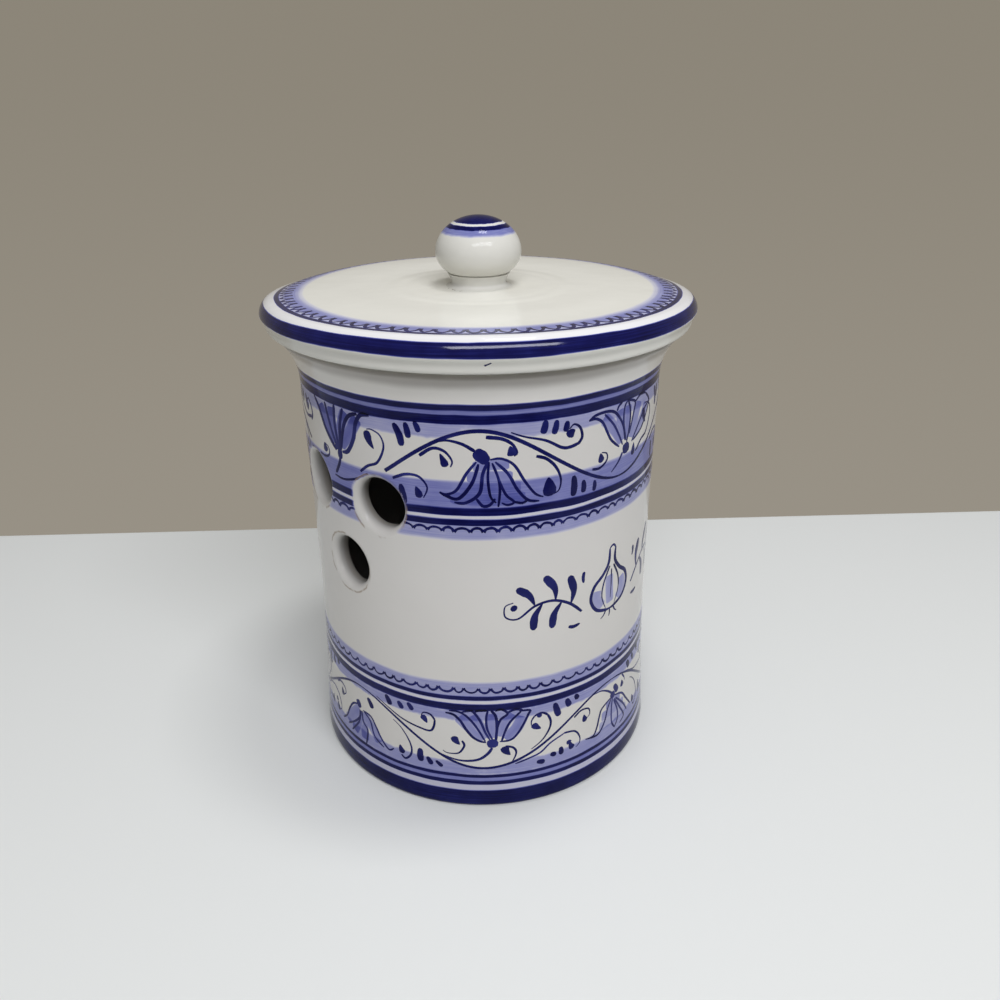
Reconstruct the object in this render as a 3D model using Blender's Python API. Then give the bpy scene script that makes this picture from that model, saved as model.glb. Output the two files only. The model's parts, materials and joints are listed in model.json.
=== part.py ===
"""A garlic keeper: a glazed earthenware jar with vents in its wall, and a loose lid with a ball knob.

Every piece is turned about the Z axis. The foot stands on z = 0, and the jar's front faces -Y.
Run it in Blender 4.5 with: blender --background --python part.py
"""

from math import asin, cos, pi, radians, sin, sqrt, tan

import bmesh
import bpy
from mathutils import Matrix

MM = 0.001

# Jar
JAR_HEIGHT = 154.8 * MM
BODY_RADIUS = 60.2 * MM
WAIST_DEPTH = 0.4 * MM
WALL = 6.0 * MM
FLOOR_THICKNESS = 7.0 * MM
FLOOR_CORNER = 6.0 * MM

# Foot of the jar
FOOT_FLARE = 2.5 * MM
FOOT_FLARE_HEIGHT = 75.0 * MM
FOOT_EDGE = 1.6 * MM
FOOT_RING_WIDTH = 7.0 * MM
FOOT_RECESS = 2.5 * MM
FOOT_RECESS_SLOPE = 1.5 * MM

# Neck and lip of the jar
COVE_HEIGHT = 17.0 * MM
LIP_FLARE = 5.6 * MM
LIP_EDGE = 1.5 * MM

# Vents: on each side of the jar one low vent, with a high one at each side of it
VENT_RADIUS = 8.2 * MM
VENT_EDGE = 2.0 * MM
VENT_INNER_EDGE = 1.0 * MM
LOW_VENT_HEIGHT = 85.4 * MM
HIGH_VENT_HEIGHT = 110.0 * MM
VENT_STEP = radians(15.0)
CUTTER_OVERRUN = 6.0 * MM

# Lid
SEAT_GAP = 0.3 * MM
LID_THICKNESS = 9.8 * MM
LID_OVERHANG = 4.7 * MM
LID_FLAT_RADIUS = 48.0 * MM
RIM_ROUND = 4.5 * MM
RIM_ROUND_START = radians(79.0)
RIM_ROUND_END = radians(-25.0)
RIM_TUCK = 2.7 * MM
RIM_EDGE = 0.6 * MM
PLATE_THICKNESS = 7.0 * MM

# Locating ring under the lid
RING_DEPTH = 8.0 * MM
RING_WIDTH = 5.0 * MM
RING_CLEARANCE = 1.2 * MM
RING_EDGE = 1.2 * MM

# Knob: a squat ball on a tapered collar
JOIN_GAP = 0.3 * MM
COLLAR_BASE_RADIUS = 8.8 * MM
COLLAR_TOP_RADIUS = 10.1 * MM
COLLAR_HEIGHT = 3.6 * MM
COLLAR_HOLLOW = 0.3 * MM
BALL_RADIUS = 13.9 * MM
BALL_CROWN = 11.2 * MM
BALL_UNDERSIDE = 9.2 * MM

# Facets of the turned pieces
ROUND_STEPS = 60
KNOB_STEPS = 40
VENT_STEPS = 28
BODY_STEPS = 8
TOP_STEPS = 4
ARC_STEPS = 4
EDGE_STEPS = 3
WELD = 0.001 * MM

# Colours and glosses
WHITE_GLAZE = (0.80, 0.79, 0.74)
COBALT_GLAZE = (0.035, 0.03, 0.16)
GLAZE_ROUGHNESS = 0.12
SHARP_ANGLE = radians(35.0)

# Heights that follow
NECK_HEIGHT = JAR_HEIGHT - COVE_HEIGHT
FLOOR_TOP = FOOT_RECESS + FLOOR_THICKNESS
SEAT_HEIGHT = JAR_HEIGHT + SEAT_GAP
LID_TOP = SEAT_HEIGHT + LID_THICKNESS
PLATE_UNDERSIDE = LID_TOP - PLATE_THICKNESS
COLLAR_BASE = LID_TOP + JOIN_GAP
COLLAR_TOP = COLLAR_BASE + COLLAR_HEIGHT
BALL_BASE = COLLAR_TOP + JOIN_GAP
BALL_MIDDLE = BALL_BASE + BALL_UNDERSIDE * sqrt(1 - (COLLAR_TOP_RADIUS / BALL_RADIUS) ** 2)

# Radii that follow
INNER_RADIUS = BODY_RADIUS - WALL
LIP_RADIUS = BODY_RADIUS + LIP_FLARE
LID_RADIUS = LIP_RADIUS + LID_OVERHANG
RIM_FOOT_RADIUS = LID_RADIUS - RIM_TUCK

# The top of the lid is flat in the middle and falls ever more steeply into the rim, which it meets smoothly.
RIM_TOP_RADIUS = LID_RADIUS - RIM_ROUND + RIM_ROUND * cos(RIM_ROUND_START)
LID_FALL = tan(pi / 2 - RIM_ROUND_START) * (RIM_TOP_RADIUS - LID_FLAT_RADIUS) / 3
RIM_MIDDLE = LID_TOP - LID_FALL - RIM_ROUND * sin(RIM_ROUND_START)


# The cove is an arc that leaves the wall upright and runs smoothly into the rounded edge of the lip.
LIP_EDGE_HEIGHT = JAR_HEIGHT - LIP_EDGE
COVE_RISE = LIP_EDGE_HEIGHT - NECK_HEIGHT
COVE_RADIUS = ((LIP_FLARE - LIP_EDGE) ** 2 + COVE_RISE**2 - LIP_EDGE**2) / (2 * LIP_FLARE)
COVE_TURN = asin(COVE_RISE / (COVE_RADIUS + LIP_EDGE))
COVE_CENTRE = BODY_RADIUS + COVE_RADIUS

# The inner side of the neck keeps the wall's thickness, so its arc has the same centre.
THROAT_RADIUS = COVE_RADIUS + WALL
THROAT_TURN = asin(COVE_RISE / (THROAT_RADIUS - LIP_EDGE))
THROAT_EDGE = COVE_CENTRE - (THROAT_RADIUS - LIP_EDGE) * cos(THROAT_TURN)


def wall_radius(height):
    """Outer radius of the jar: a slight waist, and a slight flare down to the foot."""
    waist = WAIST_DEPTH * sin(pi * height / NECK_HEIGHT)
    flare = FOOT_FLARE * max(0, 1 - height / FOOT_FLARE_HEIGHT) ** 2
    return BODY_RADIUS - waist + flare


def mouth_radius(height):
    """Inner radius of the jar at a height in the neck."""
    rise = max(0, height - NECK_HEIGHT)
    return COVE_CENTRE - sqrt(THROAT_RADIUS**2 - rise**2)


RING_BOTTOM = SEAT_HEIGHT - RING_DEPTH
RING_RADIUS = mouth_radius(RING_BOTTOM) - RING_CLEARANCE


def steps(first, last, count):
    """Evenly spaced values from first to last, both included."""
    return [first + (last - first) * i / count for i in range(count + 1)]


def arc(centre_radius, centre_height, radius, start, end, count=ARC_STEPS):
    """Points of an arc in a profile, where an angle of zero points away from the axis."""
    return [
        (centre_radius + radius * cos(turn), centre_height + radius * sin(turn))
        for turn in steps(start, end, count)
    ]


def glaze(name, colour):
    material = bpy.data.materials.new(name)
    material.use_nodes = True
    shader = material.node_tree.nodes["Principled BSDF"]
    shader.inputs["Base Color"].default_value = (*colour, 1)
    shader.inputs["Roughness"].default_value = GLAZE_ROUGHNESS
    shader.inputs["Metallic"].default_value = 0
    material.diffuse_color = (*colour, 1)
    return material


def turned(name, profile, count, closed=False):
    """A solid of revolution about its own Z axis, from a profile of (radius, height) points."""
    shape = bmesh.new()
    points = [shape.verts.new((radius, 0, height)) for radius, height in profile]
    edges = [shape.edges.new(pair) for pair in zip(points, points[1:])]
    if closed:
        edges.append(shape.edges.new((points[-1], points[0])))
    bmesh.ops.spin(
        shape, geom=points + edges, axis=(0, 0, 1), angle=2 * pi, steps=count, use_merge=True
    )
    bmesh.ops.remove_doubles(shape, verts=shape.verts, dist=WELD)
    bmesh.ops.recalc_face_normals(shape, faces=shape.faces)
    mesh = bpy.data.meshes.new(name)
    shape.to_mesh(mesh)
    shape.free()
    mesh.shade_smooth()
    mesh.set_sharp_from_angle(angle=SHARP_ANGLE)
    piece = bpy.data.objects.new(name, mesh)
    bpy.context.scene.collection.objects.link(piece)
    return piece


def jar_profile():
    """From the middle of the floor up the inside, over the lip, down the outside and under the foot."""
    corner = arc(INNER_RADIUS - FLOOR_CORNER, FLOOR_TOP + FLOOR_CORNER, FLOOR_CORNER, -pi / 2, 0)
    throat = arc(COVE_CENTRE, NECK_HEIGHT, THROAT_RADIUS, pi, pi - THROAT_TURN)
    inner_edge = arc(THROAT_EDGE, LIP_EDGE_HEIGHT, LIP_EDGE, pi - THROAT_TURN, pi / 2, EDGE_STEPS)
    outer_edge = arc(LIP_RADIUS - LIP_EDGE, LIP_EDGE_HEIGHT, LIP_EDGE, pi / 2, -COVE_TURN)
    cove = arc(COVE_CENTRE, NECK_HEIGHT, COVE_RADIUS, pi - COVE_TURN, pi)
    body = [(wall_radius(height), height) for height in steps(NECK_HEIGHT, FOOT_EDGE, BODY_STEPS)]
    foot_outside = wall_radius(FOOT_EDGE) - FOOT_EDGE
    foot_edge = arc(foot_outside, FOOT_EDGE, FOOT_EDGE, 0, -pi / 2, EDGE_STEPS)
    foot_inside = foot_outside - FOOT_RING_WIDTH
    underside = [
        (foot_inside, 0),
        (foot_inside - FOOT_RECESS_SLOPE, FOOT_RECESS),
        (0, FOOT_RECESS),
    ]
    inside = [(0, FLOOR_TOP), *corner, *throat, *inner_edge[1:]]
    outside = [*outer_edge, *cove[1:], *body[1:], *foot_edge[1:]]
    return inside + outside + underside


def vent_cutter(name, turn, height):
    """A round cutter along a radius of the jar, wider at both faces of the wall so that its edges are soft."""
    wall = wall_radius(height) - INNER_RADIUS
    outer_edge = arc(VENT_RADIUS + VENT_EDGE, -VENT_EDGE, VENT_EDGE, pi / 2, pi)
    inner_edge = arc(
        VENT_RADIUS + VENT_INNER_EDGE, VENT_INNER_EDGE - wall, VENT_INNER_EDGE, pi, 3 * pi / 2, EDGE_STEPS
    )
    profile = [
        (0, CUTTER_OVERRUN),
        (VENT_RADIUS + VENT_EDGE, CUTTER_OVERRUN),
        *outer_edge,
        *inner_edge,
        (VENT_RADIUS + VENT_INNER_EDGE, -wall - CUTTER_OVERRUN),
        (0, -wall - CUTTER_OVERRUN),
    ]
    cutter = turned(name, profile, VENT_STEPS)
    along_radius = Matrix.Rotation(turn, 4, "Z") @ Matrix.Rotation(pi / 2, 4, "Y")
    on_wall = Matrix.Translation((wall_radius(height) * cos(turn), wall_radius(height) * sin(turn), height))
    cutter.matrix_world = on_wall @ along_radius
    cutter.hide_render = True
    cutter.display_type = "WIRE"
    return cutter


def make_jar(material):
    jar = turned("jar_body", jar_profile(), ROUND_STEPS)
    jar.data.materials.append(material)
    for side, middle, to_front in (("left", pi, VENT_STEP), ("right", 0, -VENT_STEP)):
        for place, turn, height in (
            ("front", middle + to_front, HIGH_VENT_HEIGHT),
            ("low", middle, LOW_VENT_HEIGHT),
            ("back", middle - to_front, HIGH_VENT_HEIGHT),
        ):
            vent = jar.modifiers.new(f"{side}_{place}_vent", "BOOLEAN")
            vent.operation = "DIFFERENCE"
            vent.solver = "EXACT"
            vent.object = vent_cutter(f"{side}_{place}_vent_cutter", turn, height)
    return jar


def lid_top_height(radius):
    """Height of the lid's top at a radius out to the start of the rim's rounding."""
    outward = max(0, radius - LID_FLAT_RADIUS) / (RIM_TOP_RADIUS - LID_FLAT_RADIUS)
    return LID_TOP - LID_FALL * outward**3


def lid_plate_profile():
    """From the middle of the top out to the bull-nosed rim, under it to the seat, and back to the middle."""
    top = [(radius, lid_top_height(radius)) for radius in steps(LID_FLAT_RADIUS, RIM_TOP_RADIUS, TOP_STEPS)]
    rim = arc(
        LID_RADIUS - RIM_ROUND, RIM_MIDDLE, RIM_ROUND, RIM_ROUND_START, RIM_ROUND_END, 2 * ARC_STEPS
    )
    edge = arc(RIM_FOOT_RADIUS - RIM_EDGE, SEAT_HEIGHT + RIM_EDGE, RIM_EDGE, 0, -pi / 2, EDGE_STEPS)
    recess_radius = RING_RADIUS + JOIN_GAP
    recess = [(recess_radius, SEAT_HEIGHT), (recess_radius, PLATE_UNDERSIDE), (0, PLATE_UNDERSIDE)]
    return [(0, LID_TOP), *top, *rim[1:], *edge, *recess]


def locating_ring_profile():
    """A plain band whose two lower edges are rounded."""
    top = PLATE_UNDERSIDE - JOIN_GAP
    inside = RING_RADIUS - RING_WIDTH
    middle_of_edge = RING_BOTTOM + RING_EDGE
    return [
        (inside, top),
        (RING_RADIUS, top),
        *arc(RING_RADIUS - RING_EDGE, middle_of_edge, RING_EDGE, 0, -pi / 2, EDGE_STEPS),
        *arc(inside + RING_EDGE, middle_of_edge, RING_EDGE, -pi / 2, -pi, EDGE_STEPS),
    ]


def collar_profile():
    """A short neck that widens upwards, with a slightly hollow side."""
    side = []
    for share in steps(1, 0, ARC_STEPS):
        straight = COLLAR_BASE_RADIUS + (COLLAR_TOP_RADIUS - COLLAR_BASE_RADIUS) * share
        side.append((straight - COLLAR_HOLLOW * sin(pi * share), COLLAR_BASE + COLLAR_HEIGHT * share))
    return [(0, COLLAR_TOP), *side, (0, COLLAR_BASE)]


def ball_profile():
    """Two half ellipses that meet at the widest part: the crown, and the underside cut flat on the collar."""
    crown = [
        (BALL_RADIUS * cos(turn), BALL_MIDDLE + BALL_CROWN * sin(turn))
        for turn in steps(pi / 2, 0, 2 * ARC_STEPS)
    ]
    flat_turn = asin((BALL_MIDDLE - BALL_BASE) / BALL_UNDERSIDE)
    underside = [
        (BALL_RADIUS * cos(turn), BALL_MIDDLE - BALL_UNDERSIDE * sin(turn))
        for turn in steps(0, flat_turn, ARC_STEPS)
    ]
    return [(0, BALL_MIDDLE + BALL_CROWN), *crown[1:], *underside[1:], (0, BALL_BASE)]


def make_lid():
    """The lid's pieces, held by an empty on the axis along which the lid lifts."""
    lid_axis = bpy.data.objects.new("lid_axis", None)
    lid_axis.location = (0, 0, SEAT_HEIGHT)
    bpy.context.scene.collection.objects.link(lid_axis)
    bpy.context.view_layer.update()
    pieces = (
        turned("lid_plate", lid_plate_profile(), ROUND_STEPS),
        turned("lid_locating_ring", locating_ring_profile(), ROUND_STEPS, closed=True),
        turned("knob_collar", collar_profile(), KNOB_STEPS),
        turned("knob_ball", ball_profile(), KNOB_STEPS),
    )
    for piece in pieces:
        piece.parent = lid_axis
        piece.matrix_parent_inverse = lid_axis.matrix_world.inverted()
    return pieces


def main():
    for old in list(bpy.data.objects):
        bpy.data.objects.remove(old)
    make_jar(glaze("jar glaze", WHITE_GLAZE))
    plate, ring, collar, ball = make_lid()
    plate.data.materials.append(glaze("lid glaze", WHITE_GLAZE))
    ring.data.materials.append(glaze("ring glaze", WHITE_GLAZE))
    collar.data.materials.append(glaze("collar glaze", WHITE_GLAZE))
    ball.data.materials.append(glaze("knob glaze", COBALT_GLAZE))
    bpy.context.view_layer.update()


main()
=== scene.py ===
# %% [markdown]
# # A hand-painted garlic keeper
#
# Garlic keeps best in the dark with air moving round it, so a potter throws a thick-walled jar,
# cuts a few round vents through its wall and gives it a loose lid. This one is earthenware under a
# white tin glaze, and its blue is cobalt, brushed on before the last firing so that it melts into
# the glaze. The measured solids are loaded first. They stay where they are, and finer pieces with
# paint, soft edges and small flaws of the hand are then built over them.

import json
from math import asin, atan2, ceil, cos, dist, hypot, pi, radians, sin, sqrt, tan
from random import Random

import bmesh
import bpy
from mathutils import Matrix, Vector

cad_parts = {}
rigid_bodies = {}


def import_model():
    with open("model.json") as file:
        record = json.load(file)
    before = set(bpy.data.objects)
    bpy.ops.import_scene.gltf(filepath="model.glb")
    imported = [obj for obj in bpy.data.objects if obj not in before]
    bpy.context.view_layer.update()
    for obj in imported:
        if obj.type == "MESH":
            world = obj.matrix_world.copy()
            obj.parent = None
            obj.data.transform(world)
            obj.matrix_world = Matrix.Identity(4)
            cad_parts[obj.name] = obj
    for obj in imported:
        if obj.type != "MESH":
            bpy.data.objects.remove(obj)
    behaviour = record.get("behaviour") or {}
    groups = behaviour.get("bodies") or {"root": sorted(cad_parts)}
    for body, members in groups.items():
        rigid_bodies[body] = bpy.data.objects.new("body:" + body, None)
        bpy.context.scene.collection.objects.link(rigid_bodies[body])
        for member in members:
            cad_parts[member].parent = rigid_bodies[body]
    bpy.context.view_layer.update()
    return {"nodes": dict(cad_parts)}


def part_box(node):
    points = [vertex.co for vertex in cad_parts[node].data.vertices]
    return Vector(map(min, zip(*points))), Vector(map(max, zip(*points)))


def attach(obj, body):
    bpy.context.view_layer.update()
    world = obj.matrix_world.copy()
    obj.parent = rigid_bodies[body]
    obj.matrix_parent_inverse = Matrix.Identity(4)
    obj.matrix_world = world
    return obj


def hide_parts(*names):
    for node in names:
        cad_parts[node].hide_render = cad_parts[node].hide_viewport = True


for startup_object in list(bpy.data.objects):
    bpy.data.objects.remove(startup_object)

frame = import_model()
for node_name in sorted(frame["nodes"]):
    low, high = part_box(node_name)
    size = [round(b - a, 4) for a, b in zip(low, high)]
    print(node_name, "is", size, "m, and its foot is at", round(low[2], 4))

# %% [markdown]
# ## Sizes
#
# Everything is turned about one upright axis, so a radius and a height place any point. Lengths
# are written in millimetres, as a potter would call them out, and turned into metres when a mesh
# is built. A turn of zero faces the front of the jar, and turns count towards its right side.

# %% Sizes in millimetres
MM = 0.001

JAR_HEIGHT = 154.8
BODY_RADIUS = 60.2
WAIST_DEPTH = 0.4
WALL = 6.0
FLOOR_TOP = 9.5
FLOOR_CORNER = 6.0
FOOT_FLARE = 2.5
FOOT_FLARE_HEIGHT = 75.0
FOOT_EDGE = 1.6
FOOT_RING_WIDTH = 7.0
FOOT_RECESS = 2.5
FOOT_RECESS_SLOPE = 1.5

COVE_HEIGHT = 17.0
LIP_FLARE = 5.6
LIP_EDGE = 1.5

VENT_RADIUS = 8.2
VENT_FLARE = 2.2
VENT_INNER_FLARE = 1.0
LOW_VENT_HEIGHT = 85.4
HIGH_VENT_HEIGHT = 110.0
VENT_STEP = 15.0

SEAT_HEIGHT = 155.1
LID_TOP = 164.9
LID_FLAT_RADIUS = 48.0
LID_RADIUS = 70.48
RIM_ROUND = 4.5
RIM_ROUND_START = radians(79.0)
RIM_ROUND_END = radians(6.0)
RIM_SIDE = [
    (70.1, 159.0),
    (69.75, 158.4),
    (69.45, 157.85),
    (69.25, 157.3),
    (69.15, 156.8),
    (69.1, 156.3),
    (68.9, 155.7),
    (68.45, 155.25),
    (67.8, 155.1),
]
PLATE_UNDERSIDE = 157.9
RING_WIDTH = 5.0
RING_CLEARANCE = 1.2
RING_DEPTH = 8.0
RING_EDGE = 1.2

COLLAR_BASE_RADIUS = 8.8
COLLAR_TOP_RADIUS = 10.1
COLLAR_BASE = 165.2
COLLAR_TOP = 168.8
COLLAR_HOLLOW = 0.3
BALL_RADIUS = 13.9
BALL_CROWN = 11.2
BALL_UNDERSIDE = 9.2
BALL_BASE = 169.1

NECK_HEIGHT = JAR_HEIGHT - COVE_HEIGHT
INNER_RADIUS = BODY_RADIUS - WALL
LIP_RADIUS = BODY_RADIUS + LIP_FLARE
LIP_EDGE_HEIGHT = JAR_HEIGHT - LIP_EDGE
COVE_RISE = LIP_EDGE_HEIGHT - NECK_HEIGHT
COVE_RADIUS = ((LIP_FLARE - LIP_EDGE) ** 2 + COVE_RISE**2 - LIP_EDGE**2) / (2 * LIP_FLARE)
COVE_TURN = asin(COVE_RISE / (COVE_RADIUS + LIP_EDGE))
COVE_CENTRE = BODY_RADIUS + COVE_RADIUS
THROAT_RADIUS = COVE_RADIUS + WALL
THROAT_TURN = asin(COVE_RISE / (THROAT_RADIUS - LIP_EDGE))
THROAT_EDGE = COVE_CENTRE - (THROAT_RADIUS - LIP_EDGE) * cos(THROAT_TURN)
RIM_TOP_RADIUS = LID_RADIUS - RIM_ROUND + RIM_ROUND * cos(RIM_ROUND_START)
LID_FALL = tan(pi / 2 - RIM_ROUND_START) * (RIM_TOP_RADIUS - LID_FLAT_RADIUS) / 3
RIM_MIDDLE = LID_TOP - LID_FALL - RIM_ROUND * sin(RIM_ROUND_START)
BALL_MIDDLE = BALL_BASE + BALL_UNDERSIDE * sqrt(1 - (COLLAR_TOP_RADIUS / BALL_RADIUS) ** 2)


def wall_radius(height):
    """Outer radius of the jar, with its slight waist and the slight flare down to its foot."""
    waist = WAIST_DEPTH * sin(pi * height / NECK_HEIGHT)
    flare = FOOT_FLARE * max(0.0, 1 - height / FOOT_FLARE_HEIGHT) ** 2
    return BODY_RADIUS - waist + flare


def mouth_radius(height):
    """Inner radius of the jar at a height in the neck."""
    rise = max(0.0, height - NECK_HEIGHT)
    return COVE_CENTRE - sqrt(THROAT_RADIUS**2 - rise**2)


RING_BOTTOM = SEAT_HEIGHT - RING_DEPTH
RING_RADIUS = mouth_radius(RING_BOTTOM) - RING_CLEARANCE

print("The wall is", WALL, "mm thick, and the cove's radius is", round(COVE_RADIUS, 1), "mm")

# %% [markdown]
# ## Camera
#
# The jar is seen from a little above its lid and from its front left corner, at arm's length, the
# way that someone standing at a worktop sees it. The lens is a short one and stands close, which
# is why the lid looks wider than the foot.

# %% Camera
CAMERA_TURN = radians(-43.8)
CAMERA_REACH = 0.2842
CAMERA_HEIGHT = 0.2215
CAMERA_YAW = radians(-45.09)
CAMERA_PITCH = radians(64.63)
CAMERA_ROLL = radians(-0.4)
LENS_LENGTH = 30.96
SENSOR_WIDTH = 36

camera_data = bpy.data.cameras.new("camera")
camera_data.lens = LENS_LENGTH
camera_data.sensor_width = SENSOR_WIDTH
camera_data.clip_start = 0.01
camera_data.clip_end = 20
camera = bpy.data.objects.new("camera", camera_data)
bpy.context.scene.collection.objects.link(camera)
stand = Matrix.Translation(
    (CAMERA_REACH * sin(CAMERA_TURN), -CAMERA_REACH * cos(CAMERA_TURN), CAMERA_HEIGHT)
)
aim = Matrix.Rotation(CAMERA_YAW, 4, "Z") @ Matrix.Rotation(CAMERA_PITCH, 4, "X")
camera.matrix_world = stand @ aim @ Matrix.Rotation(CAMERA_ROLL, 4, "Z")
bpy.context.scene.camera = camera
bpy.context.scene.view_settings.view_transform = "Standard"
bpy.context.scene.render.resolution_x = 1000
bpy.context.scene.render.resolution_y = 1000
print("The camera stands", CAMERA_REACH, "m from the axis and", CAMERA_HEIGHT, "m above the table")

# %% [markdown]
# ## Recipes for finishes
#
# Each finish is a small graph of nodes. The helper below adds them one at a time, so that a
# finish reads like a recipe: take a height, shift it by a little noise, look up the paint there.

# %% Recipe helper


class Recipe:
    """Adds the nodes of one finish, or of the room, and joins each to what feeds it."""

    def __init__(self, owner):
        owner.use_nodes = True
        self.owner = owner
        self.nodes = owner.node_tree.nodes
        self.links = owner.node_tree.links
        self.shader = self.nodes.get("Principled BSDF")

    def add(self, kind, **settings):
        node = self.nodes.new(kind)
        for setting, value in settings.items():
            setattr(node, setting, value)
        return node

    def feed(self, socket, value):
        if isinstance(value, bpy.types.NodeSocket):
            self.links.new(value, socket)
        else:
            socket.default_value = value

    def math(self, operation, first, second=0.0, clamp=False):
        node = self.add("ShaderNodeMath", operation=operation, use_clamp=clamp)
        self.feed(node.inputs[0], first)
        self.feed(node.inputs[1], second)
        return node.outputs[0]

    def step(self, value, low, high):
        """Zero below low and one above high, with a soft step between them."""
        node = self.add("ShaderNodeMapRange", interpolation_type="SMOOTHSTEP")
        self.feed(node.inputs["Value"], value)
        self.feed(node.inputs["From Min"], low)
        self.feed(node.inputs["From Max"], high)
        return node.outputs["Result"]

    def attribute(self, name):
        node = self.add("ShaderNodeAttribute", attribute_name=name)
        return node.outputs["Fac"]

    def vector(self, x, y, z):
        node = self.add("ShaderNodeCombineXYZ")
        self.feed(node.inputs["X"], x)
        self.feed(node.inputs["Y"], y)
        self.feed(node.inputs["Z"], z)
        return node.outputs["Vector"]

    def noise(self, vector, scale, detail=2.0):
        node = self.add("ShaderNodeTexNoise")
        self.feed(node.inputs["Vector"], vector)
        self.feed(node.inputs["Scale"], scale)
        self.feed(node.inputs["Detail"], detail)
        return node.outputs["Fac"]

    def place(self):
        return self.add("ShaderNodeTexCoord").outputs["Object"]

    def mix(self, factor, first, second):
        node = self.add("ShaderNodeMix", data_type="RGBA")
        self.feed(node.inputs[0], factor)
        self.feed(node.inputs[6], first)
        self.feed(node.inputs[7], second)
        return node.outputs[2]

    def bump(self, height, strength, distance):
        node = self.add("ShaderNodeBump")
        self.feed(node.inputs["Height"], height)
        self.feed(node.inputs["Strength"], strength)
        self.feed(node.inputs["Distance"], distance)
        return node.outputs["Normal"]


def new_finish(name):
    return Recipe(bpy.data.materials.new(name))


print("The recipe helper is ready")

# %% [markdown]
# ## Table and light
#
# The jar stands on a plain pale table top. Its back edge is straight and not far behind the jar,
# and beyond it there is only a plain warm grey room. Most of the light comes from one large soft
# source, as from a window high behind the viewer, and a small lamp overhead adds a little.

# %% Table
TABLE_SIDE = 0.70
TABLE_FRONT = 0.24
TABLE_BACK = 0.153
TABLE_BACK_TURN = radians(-1.0)
TABLE_THICKNESS = 0.02
TABLE_EDGE_ROUND = 0.002
TABLE_COLOUR = (0.775, 0.79, 0.775, 1)
TABLE_ROUGHNESS = 0.6

table_shape = bmesh.new()
bmesh.ops.create_cube(table_shape, size=1.0)
table_mesh = bpy.data.meshes.new("table")
table_shape.to_mesh(table_mesh)
table_shape.free()
table = bpy.data.objects.new("table", table_mesh)
bpy.context.scene.collection.objects.link(table)
table_size = Matrix.Diagonal((2 * TABLE_SIDE, TABLE_FRONT + TABLE_BACK, TABLE_THICKNESS, 1))
table_middle = Matrix.Translation((0, (TABLE_BACK - TABLE_FRONT) / 2, -TABLE_THICKNESS / 2))
table_turn = Matrix.Rotation(CAMERA_TURN - TABLE_BACK_TURN, 4, "Z")
table_mesh.transform(table_turn @ table_middle @ table_size)
edge_round = table.modifiers.new("soft edge", "BEVEL")
edge_round.width = TABLE_EDGE_ROUND
edge_round.segments = 3

recipe = new_finish("pale table")
recipe.feed(recipe.shader.inputs["Base Color"], TABLE_COLOUR)
recipe.feed(recipe.shader.inputs["Roughness"], TABLE_ROUGHNESS)
table_mesh.materials.append(recipe.owner)
print("The table's back edge is", TABLE_BACK, "m behind the jar's axis")

# %% [markdown]
# The room is a plain warm grey where it is seen or mirrored, and a soft near-white light where it
# only lights things. That light is weak from the sides and climbs steeply towards the ceiling. Seen
# low down the room is a little lighter, as a wall is near a pale table.

# %% Room
ROOM_HIGH_COLOUR = (0.262, 0.236, 0.190, 1)
ROOM_LOW_COLOUR = (0.312, 0.283, 0.236, 1)
ROOM_LIGHT = (1.0, 0.99, 0.965, 1)
ROOM_LIGHT_AT_TABLE = 0.05
ROOM_LIGHT_OVERHEAD = 0.50
ROOM_LIGHT_CLIMB = 1.6
LOW_WALL_FROM = 0.10
LOW_WALL_TO = -0.45

room = Recipe(bpy.data.worlds.new("room"))
bpy.context.scene.world = room.owner
way = room.add("ShaderNodeTexCoord").outputs["Generated"]
way_parts = room.add("ShaderNodeSeparateXYZ")
room.feed(way_parts.inputs[0], way)
upward = way_parts.outputs["Z"]
climb = room.math("POWER", room.math("MAXIMUM", upward, 0.0), ROOM_LIGHT_CLIMB)
from_ceiling = room.math("MULTIPLY", climb, ROOM_LIGHT_OVERHEAD)

lighting = room.nodes["Background"]
room.feed(lighting.inputs["Color"], ROOM_LIGHT)
room.feed(lighting.inputs["Strength"], room.math("ADD", from_ceiling, ROOM_LIGHT_AT_TABLE))
seen = room.add("ShaderNodeBackground")
high_on_wall = room.step(upward, LOW_WALL_TO, LOW_WALL_FROM)
room.feed(seen.inputs["Color"], room.mix(high_on_wall, ROOM_LOW_COLOUR, ROOM_HIGH_COLOUR))
ray = room.add("ShaderNodeLightPath")
seen_or_mirrored = room.math("MAXIMUM", ray.outputs["Is Camera Ray"], ray.outputs["Is Glossy Ray"])
any_view = room.math("MAXIMUM", seen_or_mirrored, ray.outputs["Is Transmission Ray"])
either = room.add("ShaderNodeMixShader")
room.feed(either.inputs[0], any_view)
room.feed(either.inputs[1], lighting.outputs[0])
room.feed(either.inputs[2], seen.outputs[0])
room.feed(room.nodes["World Output"].inputs["Surface"], either.outputs[0])
ceiling_light = ROOM_LIGHT_AT_TABLE + ROOM_LIGHT_OVERHEAD
print("The room's light climbs from", ROOM_LIGHT_AT_TABLE, "to", ceiling_light)

# %% [markdown]
# The window is wide and low and stands a little to the right of the viewer. The lid keeps its light
# off the neck, and because the window has some height, the shadow under the lid fades downwards as
# it does on the real jar. Its mirror image is the glint along the roll of the lid. The small lamp
# overhead puts a glint on the knob.

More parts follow.
